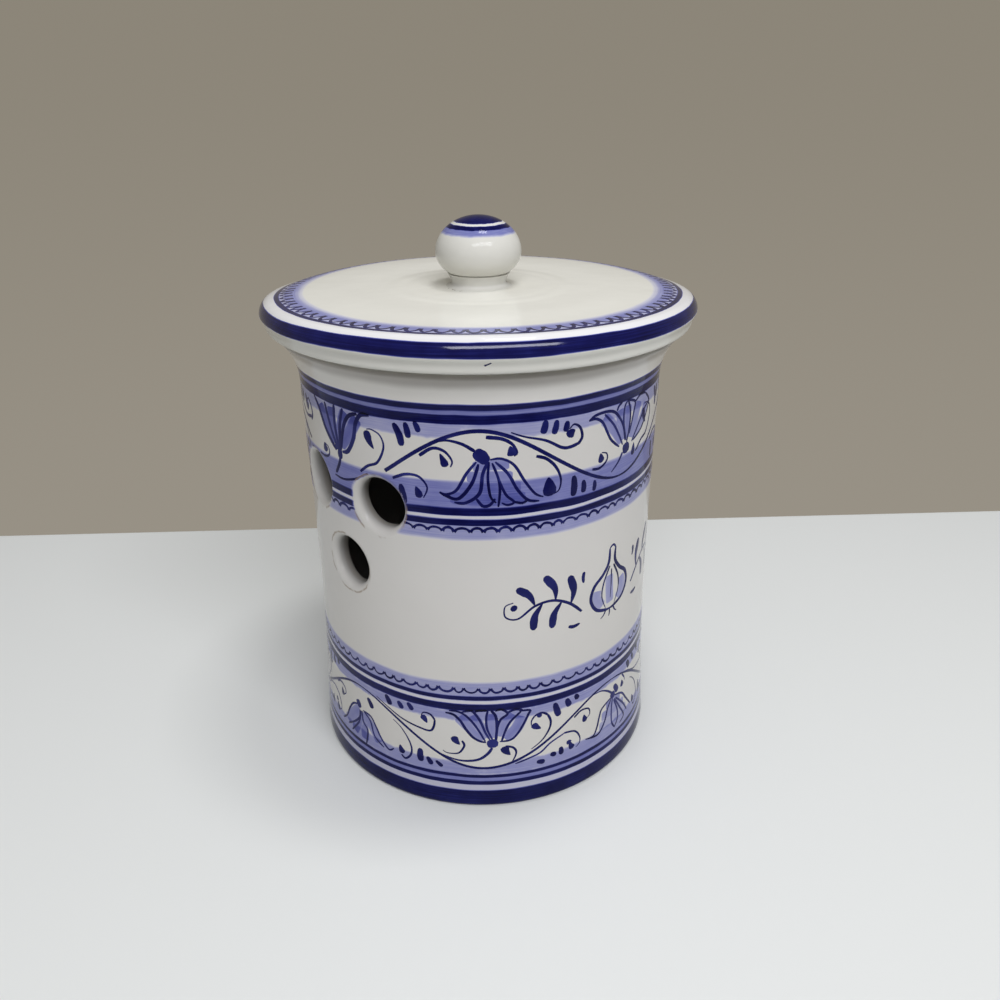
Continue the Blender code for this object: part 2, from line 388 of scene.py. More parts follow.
# %% Window and lamp
LAMP_SIZE = (0.16, 0.09)
LAMP_HEIGHT = 0.80
LAMP_FORWARD = 0.04
LAMP_RIGHT = 0.10
LAMP_TILT = radians(-8)
LAMP_POWER = 1.2
WINDOW_SIZE = (1.15, 0.27)
WINDOW_TURN = CAMERA_TURN + radians(14)
WINDOW_RISE = radians(43.5)
WINDOW_REACH = 1.30
WINDOW_COLOUR = (0.98, 0.99, 1.04)
WINDOW_POWER = 13.0


def hang_lamp(name, size, power, stand):
    """A soft rectangular lamp that shines down its own axis."""
    data = bpy.data.lights.new(name, "AREA")
    data.shape = "RECTANGLE"
    data.size, data.size_y = size
    data.energy = power
    hung = bpy.data.objects.new(name, data)
    bpy.context.scene.collection.objects.link(hung)
    hung.matrix_world = stand
    return data


to_viewer = Matrix.Rotation(CAMERA_TURN, 4, "Z")
lamp_spot = Matrix.Translation((LAMP_RIGHT, -LAMP_FORWARD, LAMP_HEIGHT))
lamp_stand = to_viewer @ lamp_spot @ Matrix.Rotation(LAMP_TILT, 4, "X")
hang_lamp("overhead lamp", LAMP_SIZE, LAMP_POWER, lamp_stand)

to_window = Matrix.Rotation(WINDOW_TURN, 4, "Z") @ Matrix.Rotation(pi / 2 - WINDOW_RISE, 4, "X")
lid_middle = Matrix.Translation((0, 0, LID_TOP * MM))
window_stand = lid_middle @ to_window @ Matrix.Translation((0, 0, WINDOW_REACH))
window = hang_lamp("window", WINDOW_SIZE, WINDOW_POWER, window_stand)
window.color = WINDOW_COLOUR
print("The lamp is", LAMP_HEIGHT, "m above the table, and the window", WINDOW_REACH, "m from the lid")

# %% [markdown]
# ## White glaze with cobalt in it
#
# Cobalt works like a dye in glass: twice the paint doesn't look twice as grey, it lets through the
# square of the light. So the finish keeps a paint density and raises a clear cobalt tint to that
# power. A density of 0.3 gives the milky light blue of a wash, and 1 gives navy. Thin cobalt holds
# back less blue than that power says, so there the blue's power is a little smaller. Where there is
# any cobalt at all, a little of it has spread in the glaze and makes its white cooler. Rings are
# brushed with the pot turning on a wheel, so their density streaks along the ring and their edges
# wander a little. Each ring list gives where a colour ends and how dense it is up to there.

# %% Rings of paint
# Jar, lid and knob share one glaze. The jar's white is set darker than the lid's as painted shade on its
# upright wall; the knob's is darker still and warmer, painted shade with a painted reflection of the
# lid.
JAR_SHADED_WHITE = (0.715, 0.695, 0.66)
LID_WHITE = (0.81, 0.80, 0.735)
KNOB_SHADED_WHITE = (0.66, 0.65, 0.60)
COBALT_TINT = (0.0080, 0.0110, 0.128)
COOLER_WHITE = 0.08
THIN_COBALT_BLUE = 0.72
BARE_CLAY = (0.52, 0.38, 0.26, 1)
PALE_CLAY = (0.66, 0.52, 0.38, 1)
CLAY_ROUGHNESS = 0.85
# Dark brown-grey mixed in as painted shade under the lip, and in the vents as painted shade and glaze
# run thin.
SHADE_AND_THIN_GLAZE = (0.25, 0.22, 0.19, 1)
PINHOLE_BROWN = (0.10, 0.065, 0.04, 1)
BROWN_EDGE = (0.30, 0.22, 0.15, 1)
BROWN_EDGE_SHARE = 0.7
# Shares of that dark brown-grey: painted shade under the lip; painted shade and thin glaze in the vents.
LIP_PAINTED_SHADE = 0.52
VENT_SHADE_AND_THIN_GLAZE = 0.45
# Darkening by the inside mark: painted shade inside the jar and into the vents, with a little thinner
# glaze.
INSIDE_SHADE = 0.45
# How much lighter the glaze is painted from the bottom of the neck up: painted light.
NECK_PAINTED_LIGHT = 0.26
# How much darker the glaze is painted towards the foot: painted shade.
FOOT_PAINTED_SHADE = 0.14
NAVY = 1.15
LIGHT_BLUE = 0.26
PALE_BLUE = 0.165
HAZE = 0.02
NO_PAINT = 0.0
WASH_DENSITY = {"upper_wash": 0.15, "lower_wash": 0.18}

LOWER_JAR_RINGS = [
    (6.8, NAVY),
    (9.35, 3 * HAZE),
    (10.8, NAVY),
    (12.3, LIGHT_BLUE),
    (13.55, NAVY),
    (39.45, NO_PAINT),
    (41.9, NAVY),
    (43.45, HAZE),
    (44.9, NAVY),
    (50.1, PALE_BLUE),
    (76.0, NO_PAINT),
]
UPPER_JAR_RINGS = [
    (102.2, NO_PAINT),
    (106.8, PALE_BLUE),
    (108.8, NAVY),
    (110.1, HAZE),
    (112.4, NAVY),
    (120.8, LIGHT_BLUE),
    (138.5, NO_PAINT),
    (141.2, NAVY),
    (142.6, LIGHT_BLUE),
    (144.4, NAVY),
    (160.0, NO_PAINT),
]
LID_RINGS = [
    (56.6, NO_PAINT),
    (57.8, 0.25 * LIGHT_BLUE),
    (59.0, 0.7 * LIGHT_BLUE),
    (62.2, LIGHT_BLUE),
    (63.9, 6 * HAZE),
    (65.4, NAVY),
    (69.1, 0.6 * HAZE),
    (72.45, NAVY),
    (90.0, NO_PAINT),
]
KNOB_RINGS = [
    (7.95, NAVY),
    (9.25, NO_PAINT),
    (10.9, NAVY),
    (13.05, LIGHT_BLUE),
    (40.0, NO_PAINT),
]
SHARP_EDGE = 0.12
SOFT_EDGE = 0.5
EDGE_WANDER = 0.9
LIP_WANDER = 1.6
STREAKS = 0.9
CLOUDS = 0.5
GRAIN = 1.6
WIPED_FROM = 9.3
WIPED_TO = 10.9
JAR_GLOSS = 0.12
LID_GLOSS = 0.3
KNOB_GLOSS = 0.12
GLAZE_ROUGHNESS = 0.10
GLAZE_BENDING = 1.5
SWELL_DEPTH = 0.00012


def ring_paint(recipe, along, start, rings):
    """Density of the ring paint at a distance along the surface, looked up in a ramp of soft steps."""
    end = rings[-1][0]
    share = recipe.math("DIVIDE", recipe.math("SUBTRACT", along, start), end - start)
    ramp = recipe.add("ShaderNodeValToRGB")
    recipe.feed(ramp.inputs["Fac"], share)
    stops = ramp.color_ramp.elements
    stops[0].position = 0.0
    first = rings[0][1]
    stops[0].color = (first, first, first, 1)
    for (edge, density), (_, next_density) in zip(rings, rings[1:]):
        softness = SHARP_EDGE if NAVY in (density, next_density) else SOFT_EDGE
        before = stops.new((edge - softness - start) / (end - start))
        before.color = (density, density, density, 1)
        after = stops.new((edge + softness - start) / (end - start))
        after.color = (next_density, next_density, next_density, 1)
    last = rings[-1][1]
    stops[-1].position = 1.0
    stops[-1].color = (last, last, last, 1)
    return ramp.outputs["Color"]


def painted_glaze(name, white_glaze, ring_lists, gloss, is_jar=False):
    """White tin glaze with cobalt in it, glossy and very slightly uneven."""
    recipe = new_finish(name)
    place = recipe.place()
    parts = recipe.add("ShaderNodeSeparateXYZ")
    recipe.feed(parts.inputs[0], place)
    flat = recipe.vector(parts.outputs["X"], parts.outputs["Y"], 0.0)
    direction = recipe.add("ShaderNodeVectorMath", operation="NORMALIZE")
    recipe.feed(direction.inputs[0], flat)
    ways = recipe.add("ShaderNodeSeparateXYZ")
    recipe.feed(ways.inputs[0], direction.outputs["Vector"])
    along = recipe.attribute("along")

    # Edges wander by a fraction of a millimetre, and streaks follow the turn of the wheel.
    slow = recipe.vector(ways.outputs["X"], ways.outputs["Y"], recipe.math("MULTIPLY", along, 0.03))
    wander = recipe.math("SUBTRACT", recipe.noise(slow, 3.0), 0.5)
    shifted = recipe.math("ADD", along, recipe.math("MULTIPLY", wander, EDGE_WANDER))
    stretched = recipe.math("MULTIPLY", along, 1.1)
    streak_way = recipe.vector(ways.outputs["X"], ways.outputs["Y"], stretched)
    streaks = recipe.noise(streak_way, 3.2, 4.0)
    cloud = recipe.noise(place, 140.0, 3.0)
    streaky = recipe.math("MULTIPLY", streaks, STREAKS)
    uneven = recipe.math("ADD", streaky, recipe.math("MULTIPLY", cloud, CLOUDS))
    brushing = recipe.math("ADD", uneven, 0.3)

    rings = 0.0
    for start, ring_list in ring_lists:
        paint = ring_paint(recipe, shifted, start, ring_list)
        rings = recipe.math("ADD", rings, paint) if rings else recipe.math("ADD", paint, 0.0)

    density = recipe.math("MULTIPLY", rings, brushing)
    load = recipe.attribute("load")
    dabs = recipe.math("MULTIPLY", load, recipe.math("ADD", recipe.math("MULTIPLY", cloud, 0.7), 0.65))
    density = recipe.math("ADD", density, dabs)
    white = 1.0
    if is_jar:
        speckle = recipe.math("SUBTRACT", recipe.noise(place, 260.0), 0.5)
        grain = recipe.math("MULTIPLY", speckle, GRAIN)
        for wash_name, wash_density in WASH_DENSITY.items():
            height_in_wash = recipe.math("ADD", recipe.attribute(wash_name), grain)
            wash = recipe.math("MULTIPLY", recipe.step(height_in_wash, -0.5, 0.6), wash_density)
            density = recipe.math("ADD", density, recipe.math("MULTIPLY", wash, brushing))
        vent_distance = recipe.attribute("vent_distance")
        ragged = recipe.math("ADD", vent_distance, grain)
        clear_of_vent = recipe.step(ragged, WIPED_FROM, WIPED_TO)
        painted = recipe.math("MULTIPLY", clear_of_vent, recipe.attribute("outside"))
        density = recipe.math("MULTIPLY", density, painted)
        # Painted shade: darker inside the jar, down the soft edges of the vents and most in their tubes.
        shade = recipe.math("MULTIPLY", recipe.attribute("inside"), INSIDE_SHADE)
        white = recipe.math("SUBTRACT", 1.0, shade)
        # Painted light: the white is raised from about 144 mm upwards.
        neck_painted_light = recipe.math("MULTIPLY", recipe.step(along, 143.5, 145.0), NECK_PAINTED_LIGHT)
        # Painted shade: the white darkens gradually from 95 mm down to 10 mm and stays so below.
        foot_painted_shade = recipe.math("MULTIPLY", recipe.step(along, 95.0, 10.0), FOOT_PAINTED_SHADE)
        painted_light_and_shade = recipe.math("SUBTRACT", recipe.math("ADD", neck_painted_light, 1.0), foot_painted_shade)
        white = recipe.math("MULTIPLY", white, painted_light_and_shade)

    # Light through the paint: the white under it, times the tint to the power of the density.
    mottle = recipe.math("ADD", recipe.math("MULTIPLY", recipe.noise(place, 45.0, 3.0), 0.05), 0.975)
    white = recipe.math("MULTIPLY", mottle, white)
    full_cobalt = recipe.math("MULTIPLY", recipe.step(density, 0.1, 0.9), 1 - THIN_COBALT_BLUE)
    blue_density = recipe.math("MULTIPLY", density, recipe.math("ADD", full_cobalt, THIN_COBALT_BLUE))
    amounts = (density, density, blue_density)
    shades = []
    for glaze_share, tint_share, amount in zip(white_glaze, COBALT_TINT, amounts):
        passed = recipe.math("POWER", tint_share, amount)
        shades.append(recipe.math("MULTIPLY", passed, recipe.math("MULTIPLY", white, glaze_share)))
    cooler = recipe.math("MULTIPLY", recipe.step(density, 0.0, 0.02), COOLER_WHITE)
    shades[2] = recipe.math("MULTIPLY", shades[2], recipe.math("ADD", cooler, 1.0))
    colour = recipe.add("ShaderNodeCombineColor")
    for socket, shade in zip(colour.inputs, shades):
        recipe.feed(socket, shade)
    shown = colour.outputs["Color"]
    if is_jar:
        # Where the glaze runs thin at the edge of a vent, a broken brownish line shows.
        rim = recipe.math(
            "MULTIPLY",
            recipe.step(ragged, 9.6, 10.1),
            recipe.math("SUBTRACT", 1.0, recipe.step(ragged, 10.2, 10.7)),
        )
        thin = recipe.math("MULTIPLY", rim, recipe.step(recipe.noise(place, 180.0), 0.46, 0.58))
        shown = recipe.mix(recipe.math("MULTIPLY", thin, BROWN_EDGE_SHARE), shown, BROWN_EDGE)
        # Painted shade under the lip: the glaze is darkened towards brown where the lid keeps light off
        # the neck.
        uneven_lip = recipe.math("ADD", along, recipe.math("MULTIPLY", wander, LIP_WANDER))
        near_lip = recipe.step(uneven_lip, 148.3, 151.3)
        under_lip = recipe.math("MULTIPLY", near_lip, recipe.attribute("outside"))
        shown = recipe.mix(recipe.math("MULTIPLY", under_lip, LIP_PAINTED_SHADE), shown, SHADE_AND_THIN_GLAZE)
        # In the vents the same dark is mixed in: partly glaze run thin over the clay, partly painted
        # shade.
        in_vent = recipe.step(recipe.attribute("inside"), 1.0, 1.4)
        shown = recipe.mix(recipe.math("MULTIPLY", in_vent, VENT_SHADE_AND_THIN_GLAZE), shown, SHADE_AND_THIN_GLAZE)
    recipe.feed(recipe.shader.inputs["Base Color"], shown)
    recipe.feed(recipe.shader.inputs["Roughness"], GLAZE_ROUGHNESS)
    recipe.feed(recipe.shader.inputs["IOR"], GLAZE_BENDING)
    recipe.feed(recipe.shader.inputs["Specular IOR Level"], gloss)

    peel = recipe.noise(place, 420.0, 2.0)
    swell = recipe.noise(place, 55.0, 2.0)
    swelling = recipe.math("MULTIPLY", swell, 4.0)
    surface = recipe.math("ADD", swelling, recipe.math("MULTIPLY", peel, 0.25))
    recipe.feed(recipe.shader.inputs["Normal"], recipe.bump(surface, 0.35, SWELL_DEPTH))
    return recipe.owner


JAR_RINGS = [(0.0, LOWER_JAR_RINGS), (90.0, UPPER_JAR_RINGS)]
JAR_GLAZE = painted_glaze("jar glaze", JAR_SHADED_WHITE, JAR_RINGS, JAR_GLOSS, is_jar=True)
LID_GLAZE = painted_glaze("lid glaze", LID_WHITE, [(40.0, LID_RINGS)], LID_GLOSS)
KNOB_GLAZE = painted_glaze("knob glaze", KNOB_SHADED_WHITE, [(0.0, KNOB_RINGS)], KNOB_GLOSS)

clay_recipe = new_finish("bare clay")
clay_grain = clay_recipe.noise(clay_recipe.place(), 900.0, 4.0)
clay_shade = clay_recipe.mix(clay_grain, BARE_CLAY, PALE_CLAY)
clay_recipe.feed(clay_recipe.shader.inputs["Base Color"], clay_shade)
clay_recipe.feed(clay_recipe.shader.inputs["Roughness"], CLAY_ROUGHNESS)
CLAY = clay_recipe.owner
print("The jar has", len(LOWER_JAR_RINGS + UPPER_JAR_RINGS), "ring steps, the lid", len(LID_RINGS))

# %% [markdown]
# ## Pieces off the wheel
#
# A turned piece is a profile of radius and height, repeated round the axis. Each point also keeps
# what the finish needs: how far along the surface it lies, and whether it is inside or outside.

# %% Turned surfaces
COLUMNS = 240
SHARP_ANGLE = radians(35)


def steps(first, last, count):
    """Evenly spaced values from first to last, both included."""
    return [first + (last - first) * i / count for i in range(count + 1)]


def arc(centre_radius, centre_height, radius, start, end, count):
    """Points of an arc in a profile, where an angle of zero points away from the axis."""
    return [
        (centre_radius + radius * cos(turn), centre_height + radius * sin(turn))
        for turn in steps(start, end, count)
    ]


def curve_through(points, step):
    """Points about a step apart along a smooth line through the given ones."""
    ends = [points[0], *points, points[-1]]
    line = []
    for before, start, end, after in zip(ends, ends[1:], ends[2:], ends[3:]):
        count = max(2, ceil(dist(start, end) / step))
        for i in range(count):
            u = i / count
            line.append(
                tuple(
                    0.5
                    * (
                        2 * b
                        + (c - a) * u
                        + (2 * a - 5 * b + 4 * c - d) * u**2
                        + (3 * b - a - 3 * c + d) * u**3
                    )
                    for a, b, c, d in zip(before, start, end, after)
                )
            )
    line.append(tuple(points[-1]))
    return line


def on_ring(radius, height, turn):
    """A point of a turned surface, in metres."""
    return (radius * sin(turn) * MM, -radius * cos(turn) * MM, height * MM)


def mark(mesh, name, values):
    """Stores one value for each vertex, for the finish to read."""
    layer = mesh.attributes.new(name, "FLOAT", "POINT")
    layer.data.foreach_set("value", values)


def as_piece(name, points, faces, marks, materials):
    """A smooth closed mesh object from its points, faces and the values kept at each point."""
    mesh = bpy.data.meshes.new(name)
    mesh.from_pydata(points, [], faces)
    for mark_name, values in marks.items():
        mark(mesh, mark_name, values)
    shape = bmesh.new()
    shape.from_mesh(mesh)
    bmesh.ops.recalc_face_normals(shape, faces=shape.faces)
    shape.to_mesh(mesh)
    shape.free()
    mesh.shade_smooth()
    mesh.set_sharp_from_angle(angle=SHARP_ANGLE)
    for material in materials:
        mesh.materials.append(material)
    piece = bpy.data.objects.new(name, mesh)
    bpy.context.scene.collection.objects.link(piece)
    return piece


def turned_points(rows, columns):
    """Points of the rows, each all the way round, between one point on the axis at either end."""
    points = [on_ring(0, rows[0][1], 0)]
    for radius, height in rows[1:-1]:
        points += [on_ring(radius, height, 2 * pi * column / columns) for column in range(columns)]
    points.append(on_ring(0, rows[-1][1], 0))
    return points


def turned_faces(row_count, columns, skip=()):
    """Faces between neighbouring rows, with a fan at each end. Cells in skip are left open."""
    faces = []
    last = 1 + (row_count - 2) * columns
    for column in range(columns):
        beside = (column + 1) % columns
        faces.append((0, 1 + column, 1 + beside))
        base = last - columns
        faces.append((last, base + beside, base + column))
        for row in range(row_count - 3):
            if (row, column) in skip:
                continue
            low = 1 + row * columns
            high = low + columns
            faces.append((low + column, high + column, high + beside, low + beside))
    return faces


def profile_lengths(rows):
    """How far along the profile each row lies from the first."""
    lengths = [0.0]
    for here, there in zip(rows, rows[1:]):
        lengths.append(lengths[-1] + dist(here, there))
    return lengths


def turned(name, rows, columns, material):
    """A turned piece whose profile starts and ends on the axis."""
    lengths = profile_lengths(rows)
    along = [lengths[0]]
    for length in lengths[1:-1]:
        along += [length] * columns
    along.append(lengths[-1])
    marks = {"along": along, "load": [0.0] * len(along)}
    points = turned_points(rows, columns)
    faces = turned_faces(len(rows), columns)
    return as_piece(name, points, faces, marks, [material])


column_gap = 2 * pi * BODY_RADIUS / COLUMNS
print("Turned pieces have", COLUMNS, "columns,", round(column_gap, 2), "mm apart on the wall")

# %% [markdown]
# ## The painted vine's path
#
# Two bands of vine run round the jar, four repeats in each. The main stem is a wave that the
# painter drew in one go before hanging flowers and buds on it. A light wash fills the side of each
# band beyond the stem, so the wash's edge follows the stem where it reaches it. The path is worked
# out here because the jar's finish needs it too. Every point of the jar and of its paint carries
# the same marks for the glaze to read.

# %% Path of the stems
MARK_NAMES = (
    "along",
    "outside",
    "inside",
    "vent_distance",
    "upper_wash",
    "lower_wash",
    "load",
)
REPEAT = 2 * pi * BODY_RADIUS / 4
UPPER_MIDDLE = 125.45
LOWER_MIDDLE = 26.4
LOWER_SQUASH = 0.974
UPPER_PHASE = radians(-43.8)
LOWER_PHASE = radians(-42.1)
UPPER_WASH_EDGE = 134.3
LOWER_WASH_TOP = 35.5
LOWER_WASH_EDGE = 18.6


def hand(turn, seed):
    """A small smooth wander of the hand, in millimetres, that closes on itself round the jar."""
    slow = 0.35 * sin(3 * turn + seed) + 0.25 * sin(7 * turn + 2.3 * seed)
    return slow + 0.12 * sin(13 * turn + 0.7 * seed)


def upper_stem(across):
    """Height of the upper stem over the middle of its band, across from a hanging flower."""
    return 10.6 * cos(2 * pi * (across + 0.8) / REPEAT) + hand(across / BODY_RADIUS, 1.4)


def lower_stem(across):
    """Height of the lower stem over the middle of its band, across from a standing flower."""
    return -10.8 * cos(2 * pi * (across + 1.5) / REPEAT) + hand(across / BODY_RADIUS, 0.6)


def wash_heights(turn, height):
    """How far a point lies inside the upper wash, and inside either of the two lower ones."""
    upper = upper_stem((turn - UPPER_PHASE) * BODY_RADIUS) + UPPER_MIDDLE
    lower = lower_stem((turn - LOWER_PHASE) * BODY_RADIUS) * LOWER_SQUASH + LOWER_MIDDLE
    in_upper = min(height - max(UPPER_WASH_EDGE, upper), 138.5 - height)
    in_lower_top = min(height - LOWER_WASH_TOP, 39.45 - height)
    in_lower_foot = min(min(LOWER_WASH_EDGE, lower) - height, height - 13.55)
    return in_upper, max(in_lower_top, in_lower_foot)


print("One repeat of the vine is", round(REPEAT, 1), "mm long")

# %% [markdown]
# ## The jar
#
# The jar is one piece of clay: a thick floor, a nearly straight wall, and a neck that coves out to
# a rounded lip. While the clay is still leather-hard the vents are cut with a tube and their edges
# are wiped soft with a wet sponge. Here each vent takes the place of a square patch of the wall.
# Rings of points carry the square over to a circle, down the soft edge, through the wall and out
# to the same square on the inside, so that no edge of the vent is faceted.

# %% Rows of the jar
CELL_HEIGHT = 1.5375
PATCH = 8
VENT_ROWS = [LOW_VENT_HEIGHT + CELL_HEIGHT * (k - PATCH) for k in range(4 * PATCH + 1)]
COLUMN_DEGREES = 360 / COLUMNS
VENTS = [
    (side * 90 + step * VENT_STEP, HIGH_VENT_HEIGHT if step else LOW_VENT_HEIGHT)
    for side in (-1, 1)
    for step in (-1, 0, 1)
]


def between(first, last, count):
    """Steps that leave out the first value."""
    return steps(first, last, count)[1:]


corner = arc(INNER_RADIUS - FLOOR_CORNER, FLOOR_TOP + FLOOR_CORNER, FLOOR_CORNER, -pi / 2, 0, 8)
low_inside = between(FLOOR_TOP + FLOOR_CORNER, VENT_ROWS[0], 10)[:-1]
high_inside = between(VENT_ROWS[-1], NECK_HEIGHT, 5)[:-1]
throat = arc(COVE_CENTRE, NECK_HEIGHT, THROAT_RADIUS, pi, pi - THROAT_TURN, 10)
inner_edge = arc(THROAT_EDGE, LIP_EDGE_HEIGHT, LIP_EDGE, pi - THROAT_TURN, pi / 2, 6)[1:]
outer_edge = arc(LIP_RADIUS - LIP_EDGE, LIP_EDGE_HEIGHT, LIP_EDGE, pi / 2, -COVE_TURN, 10)
cove = arc(COVE_CENTRE, NECK_HEIGHT, COVE_RADIUS, pi - COVE_TURN, pi, 18)[1:]
high_outside = between(NECK_HEIGHT, VENT_ROWS[-1], 8)[:-1]
low_outside = between(VENT_ROWS[0], FOOT_EDGE, 40)
foot_start = wall_radius(FOOT_EDGE) - FOOT_EDGE
foot_edge = arc(foot_start, FOOT_EDGE, FOOT_EDGE, 0, -pi / 2, 6)[1:]
foot_inside = foot_start - FOOT_RING_WIDTH

inside_rows = [(0, FLOOR_TOP), (18, FLOOR_TOP), (36, FLOOR_TOP), *corner]
inside_rows += [(INNER_RADIUS, height) for height in low_inside]
INSIDE_VENT_ROW = len(inside_rows) - 1
inside_rows += [(INNER_RADIUS, height) for height in VENT_ROWS]
inside_rows += [(INNER_RADIUS, height) for height in high_inside]
inside_rows += [*throat, *inner_edge]
outside_rows = [*outer_edge, *cove]
outside_rows += [(wall_radius(height), height) for height in high_outside]
OUTSIDE_VENT_ROW = len(inside_rows) + len(outside_rows) - 1 + len(VENT_ROWS) - 1
outside_rows += [(wall_radius(height), height) for height in reversed(VENT_ROWS)]
outside_rows += [(wall_radius(height), height) for height in low_outside]
outside_rows += foot_edge
under_rows = [
    (foot_inside, 0),
    (foot_inside - FOOT_RECESS_SLOPE, FOOT_RECESS),
    (20, FOOT_RECESS),
    (0, FOOT_RECESS),
]
jar_rows = inside_rows + outside_rows + under_rows
lip_top = max(height for _, height in jar_rows)
print("The jar's profile has", len(jar_rows), "rows, and its lip is at", round(lip_top, 1), "mm")

# %% [markdown]
# The same distances tell the finish where the paint stops short of a vent. The potter wiped the
# edge with a sponge, and took off more paint on one side than on the other.

# %% Vents


def vent_distance(turn, height):
    """Distance over the wall from the middle of the nearest vent, at most 20 mm, and its bearing."""
    nearest = (20.0, 0.0)
    for vent_degrees, vent_height in VENTS:
        across = ((turn - radians(vent_degrees) + pi) % (2 * pi) - pi) * BODY_RADIUS
        up = height - vent_height
        nearest = min(nearest, (hypot(across, up), atan2(up, across)))
    return nearest


def wiped(distance, bearing):
    """The sponge wiped more paint off on the left and below, so there a point counts as nearer."""
    return distance + 1.05 * cos(bearing - 0.6) - 0.15


def flare_depth(distance):
    """How far the soft edge of a vent falls away from the wall, at a distance from its middle."""
    inward = min(1.0, max(0.0, (VENT_RADIUS + VENT_FLARE - distance) / VENT_FLARE))
    return VENT_FLARE * (1 - sqrt(1 - inward**2))


def patch_edge():
    """Steps in columns and rows round the edge of a square patch, from its lower right corner."""
    right = [(PATCH, k) for k in range(-PATCH, PATCH)]
    top = [(-k, PATCH) for k in range(-PATCH, PATCH)]
    left = [(-PATCH, -k) for k in range(-PATCH, PATCH)]
    bottom = [(k, -PATCH) for k in range(-PATCH, PATCH)]
    return right + top + left + bottom


EDGE_STEPS = patch_edge()


def inner_wall(height):
    """Inner radius of the jar at a vent, where it is even."""
    return INNER_RADIUS


def cut_vent(vent, points, marks, faces):
    """Adds the points and faces that lead from the wall's outside through a vent to its inside."""
    degrees, middle = vent
    turn = radians(degrees)
    column = round(degrees / COLUMN_DEGREES)
    level = round((middle - VENT_ROWS[0]) / CELL_HEIGHT)
    wobble = Random(round(degrees * 10))
    lean = wobble.uniform(0, pi)

    def add_loop(radii, surface, depth, outside, inside):
        loop = []
        for k, radius in enumerate(radii):
            bearing = 2 * pi * (k / len(EDGE_STEPS)) - pi / 4
            across = radius * cos(bearing)
            height = middle + radius * sin(bearing)
            wall = surface(height)
            away = sqrt(wall**2 - across**2) - depth
            here = (away * sin(turn) + across * cos(turn), -away * cos(turn) + across * sin(turn))
            loop.append(len(points))
            points.append((here[0] * MM, here[1] * MM, height * MM))
            marks["along"].append(height)
            marks["outside"].append(outside)
            marks["inside"].append(inside)
            marks["vent_distance"].append(wiped(radius, bearing))
            in_upper, in_lower = wash_heights(turn + across / BODY_RADIUS, height)
            marks["upper_wash"].append(in_upper)
            marks["lower_wash"].append(in_lower)
            marks["load"].append(0.0)
        return loop

    def join(first, second):
        for k in range(len(first)):
            beside = (k + 1) % len(first)
            faces.append((first[k], first[beside], second[beside], second[k]))

    def wall_loop(start_row, direction):
        loop = []
        for columns, rows in EDGE_STEPS:
            row = start_row + direction * (level + rows)
            loop.append(1 + row * COLUMNS + (column + columns) % COLUMNS)
        return loop

    def edge_radius(k):
        columns, rows = EDGE_STEPS[k]
        return hypot(columns * COLUMN_DEGREES * pi / 180 * BODY_RADIUS, rows * CELL_HEIGHT)

    count = len(EDGE_STEPS)
    flared = [
        (VENT_RADIUS + VENT_FLARE) * (1 + 0.006 * cos(4 * pi * k / count + lean)) for k in range(count)
    ]
    loops = [wall_loop(OUTSIDE_VENT_ROW - 1, -1)]
    for share in (0.3, 0.55, 0.75, 0.9, 1.0):
        radii = [edge_radius(k) * (1 - share) + flared[k] * share for k in range(count)]
        loops.append(add_loop(radii, wall_radius, 0.0, 1.0, 0.0))
    # The inside mark grows as the edge bends into the vent, so the finish paints shade there.
    for bend in steps(0, pi / 2, 7)[1:]:
        in_from_edge = VENT_FLARE * sin(bend)
        depth = VENT_FLARE * (1 - cos(bend))
        radii = [radius - in_from_edge for radius in flared]
        loops.append(add_loop(radii, wall_radius, depth, 1.0, 0.55 * bend))
    straight = [radius - VENT_FLARE for radius in flared]
    # In the tube the inside mark is highest, for the darkest painted shade.
    for bend in steps(0, pi / 2, 4):
        out_from_edge = VENT_INNER_FLARE * (1 - cos(bend))
        depth = -VENT_INNER_FLARE * (1 - sin(bend))
        radii = [radius + out_from_edge for radius in straight]
        loops.append(add_loop(radii, inner_wall, depth, 0.0, 1.62))
    for share in (0.75, 0.4):
        radii = [edge_radius(k) * (1 - share) + straight[k] * share for k in range(count)]
        loops.append(add_loop(radii, inner_wall, 0.0, 0.0, 1.0))
    loops.append(wall_loop(INSIDE_VENT_ROW, 1))
    for first, second in zip(loops, loops[1:]):
        join(first, second)


def patch_cells():
    """The cells of the wall that the vents take the place of."""
    cells = set()
    for degrees, middle in VENTS:
        column = round(degrees / COLUMN_DEGREES)
        level = round((middle - VENT_ROWS[0]) / CELL_HEIGHT)
        for columns in range(-PATCH, PATCH):
            for rows in range(-PATCH, PATCH):
                beside = (column + columns) % COLUMNS
                cells.add((INSIDE_VENT_ROW + level + rows, beside))
                cells.add((OUTSIDE_VENT_ROW - 1 - level - rows - 1, beside))
    return cells


print("There are", len(VENTS), "vents,", 2 * VENT_RADIUS, "mm across")

# %% [markdown]
# Now the jar is put together. The foot's flat ring stays bare, so that the pot doesn't stick to
# the kiln shelf.

# %% The jar
jar_marks = {name: [] for name in MARK_NAMES}
jar_points = turned_points(jar_rows, COLUMNS)
first_outside = len(inside_rows)
first_under = len(inside_rows) + len(outside_rows)


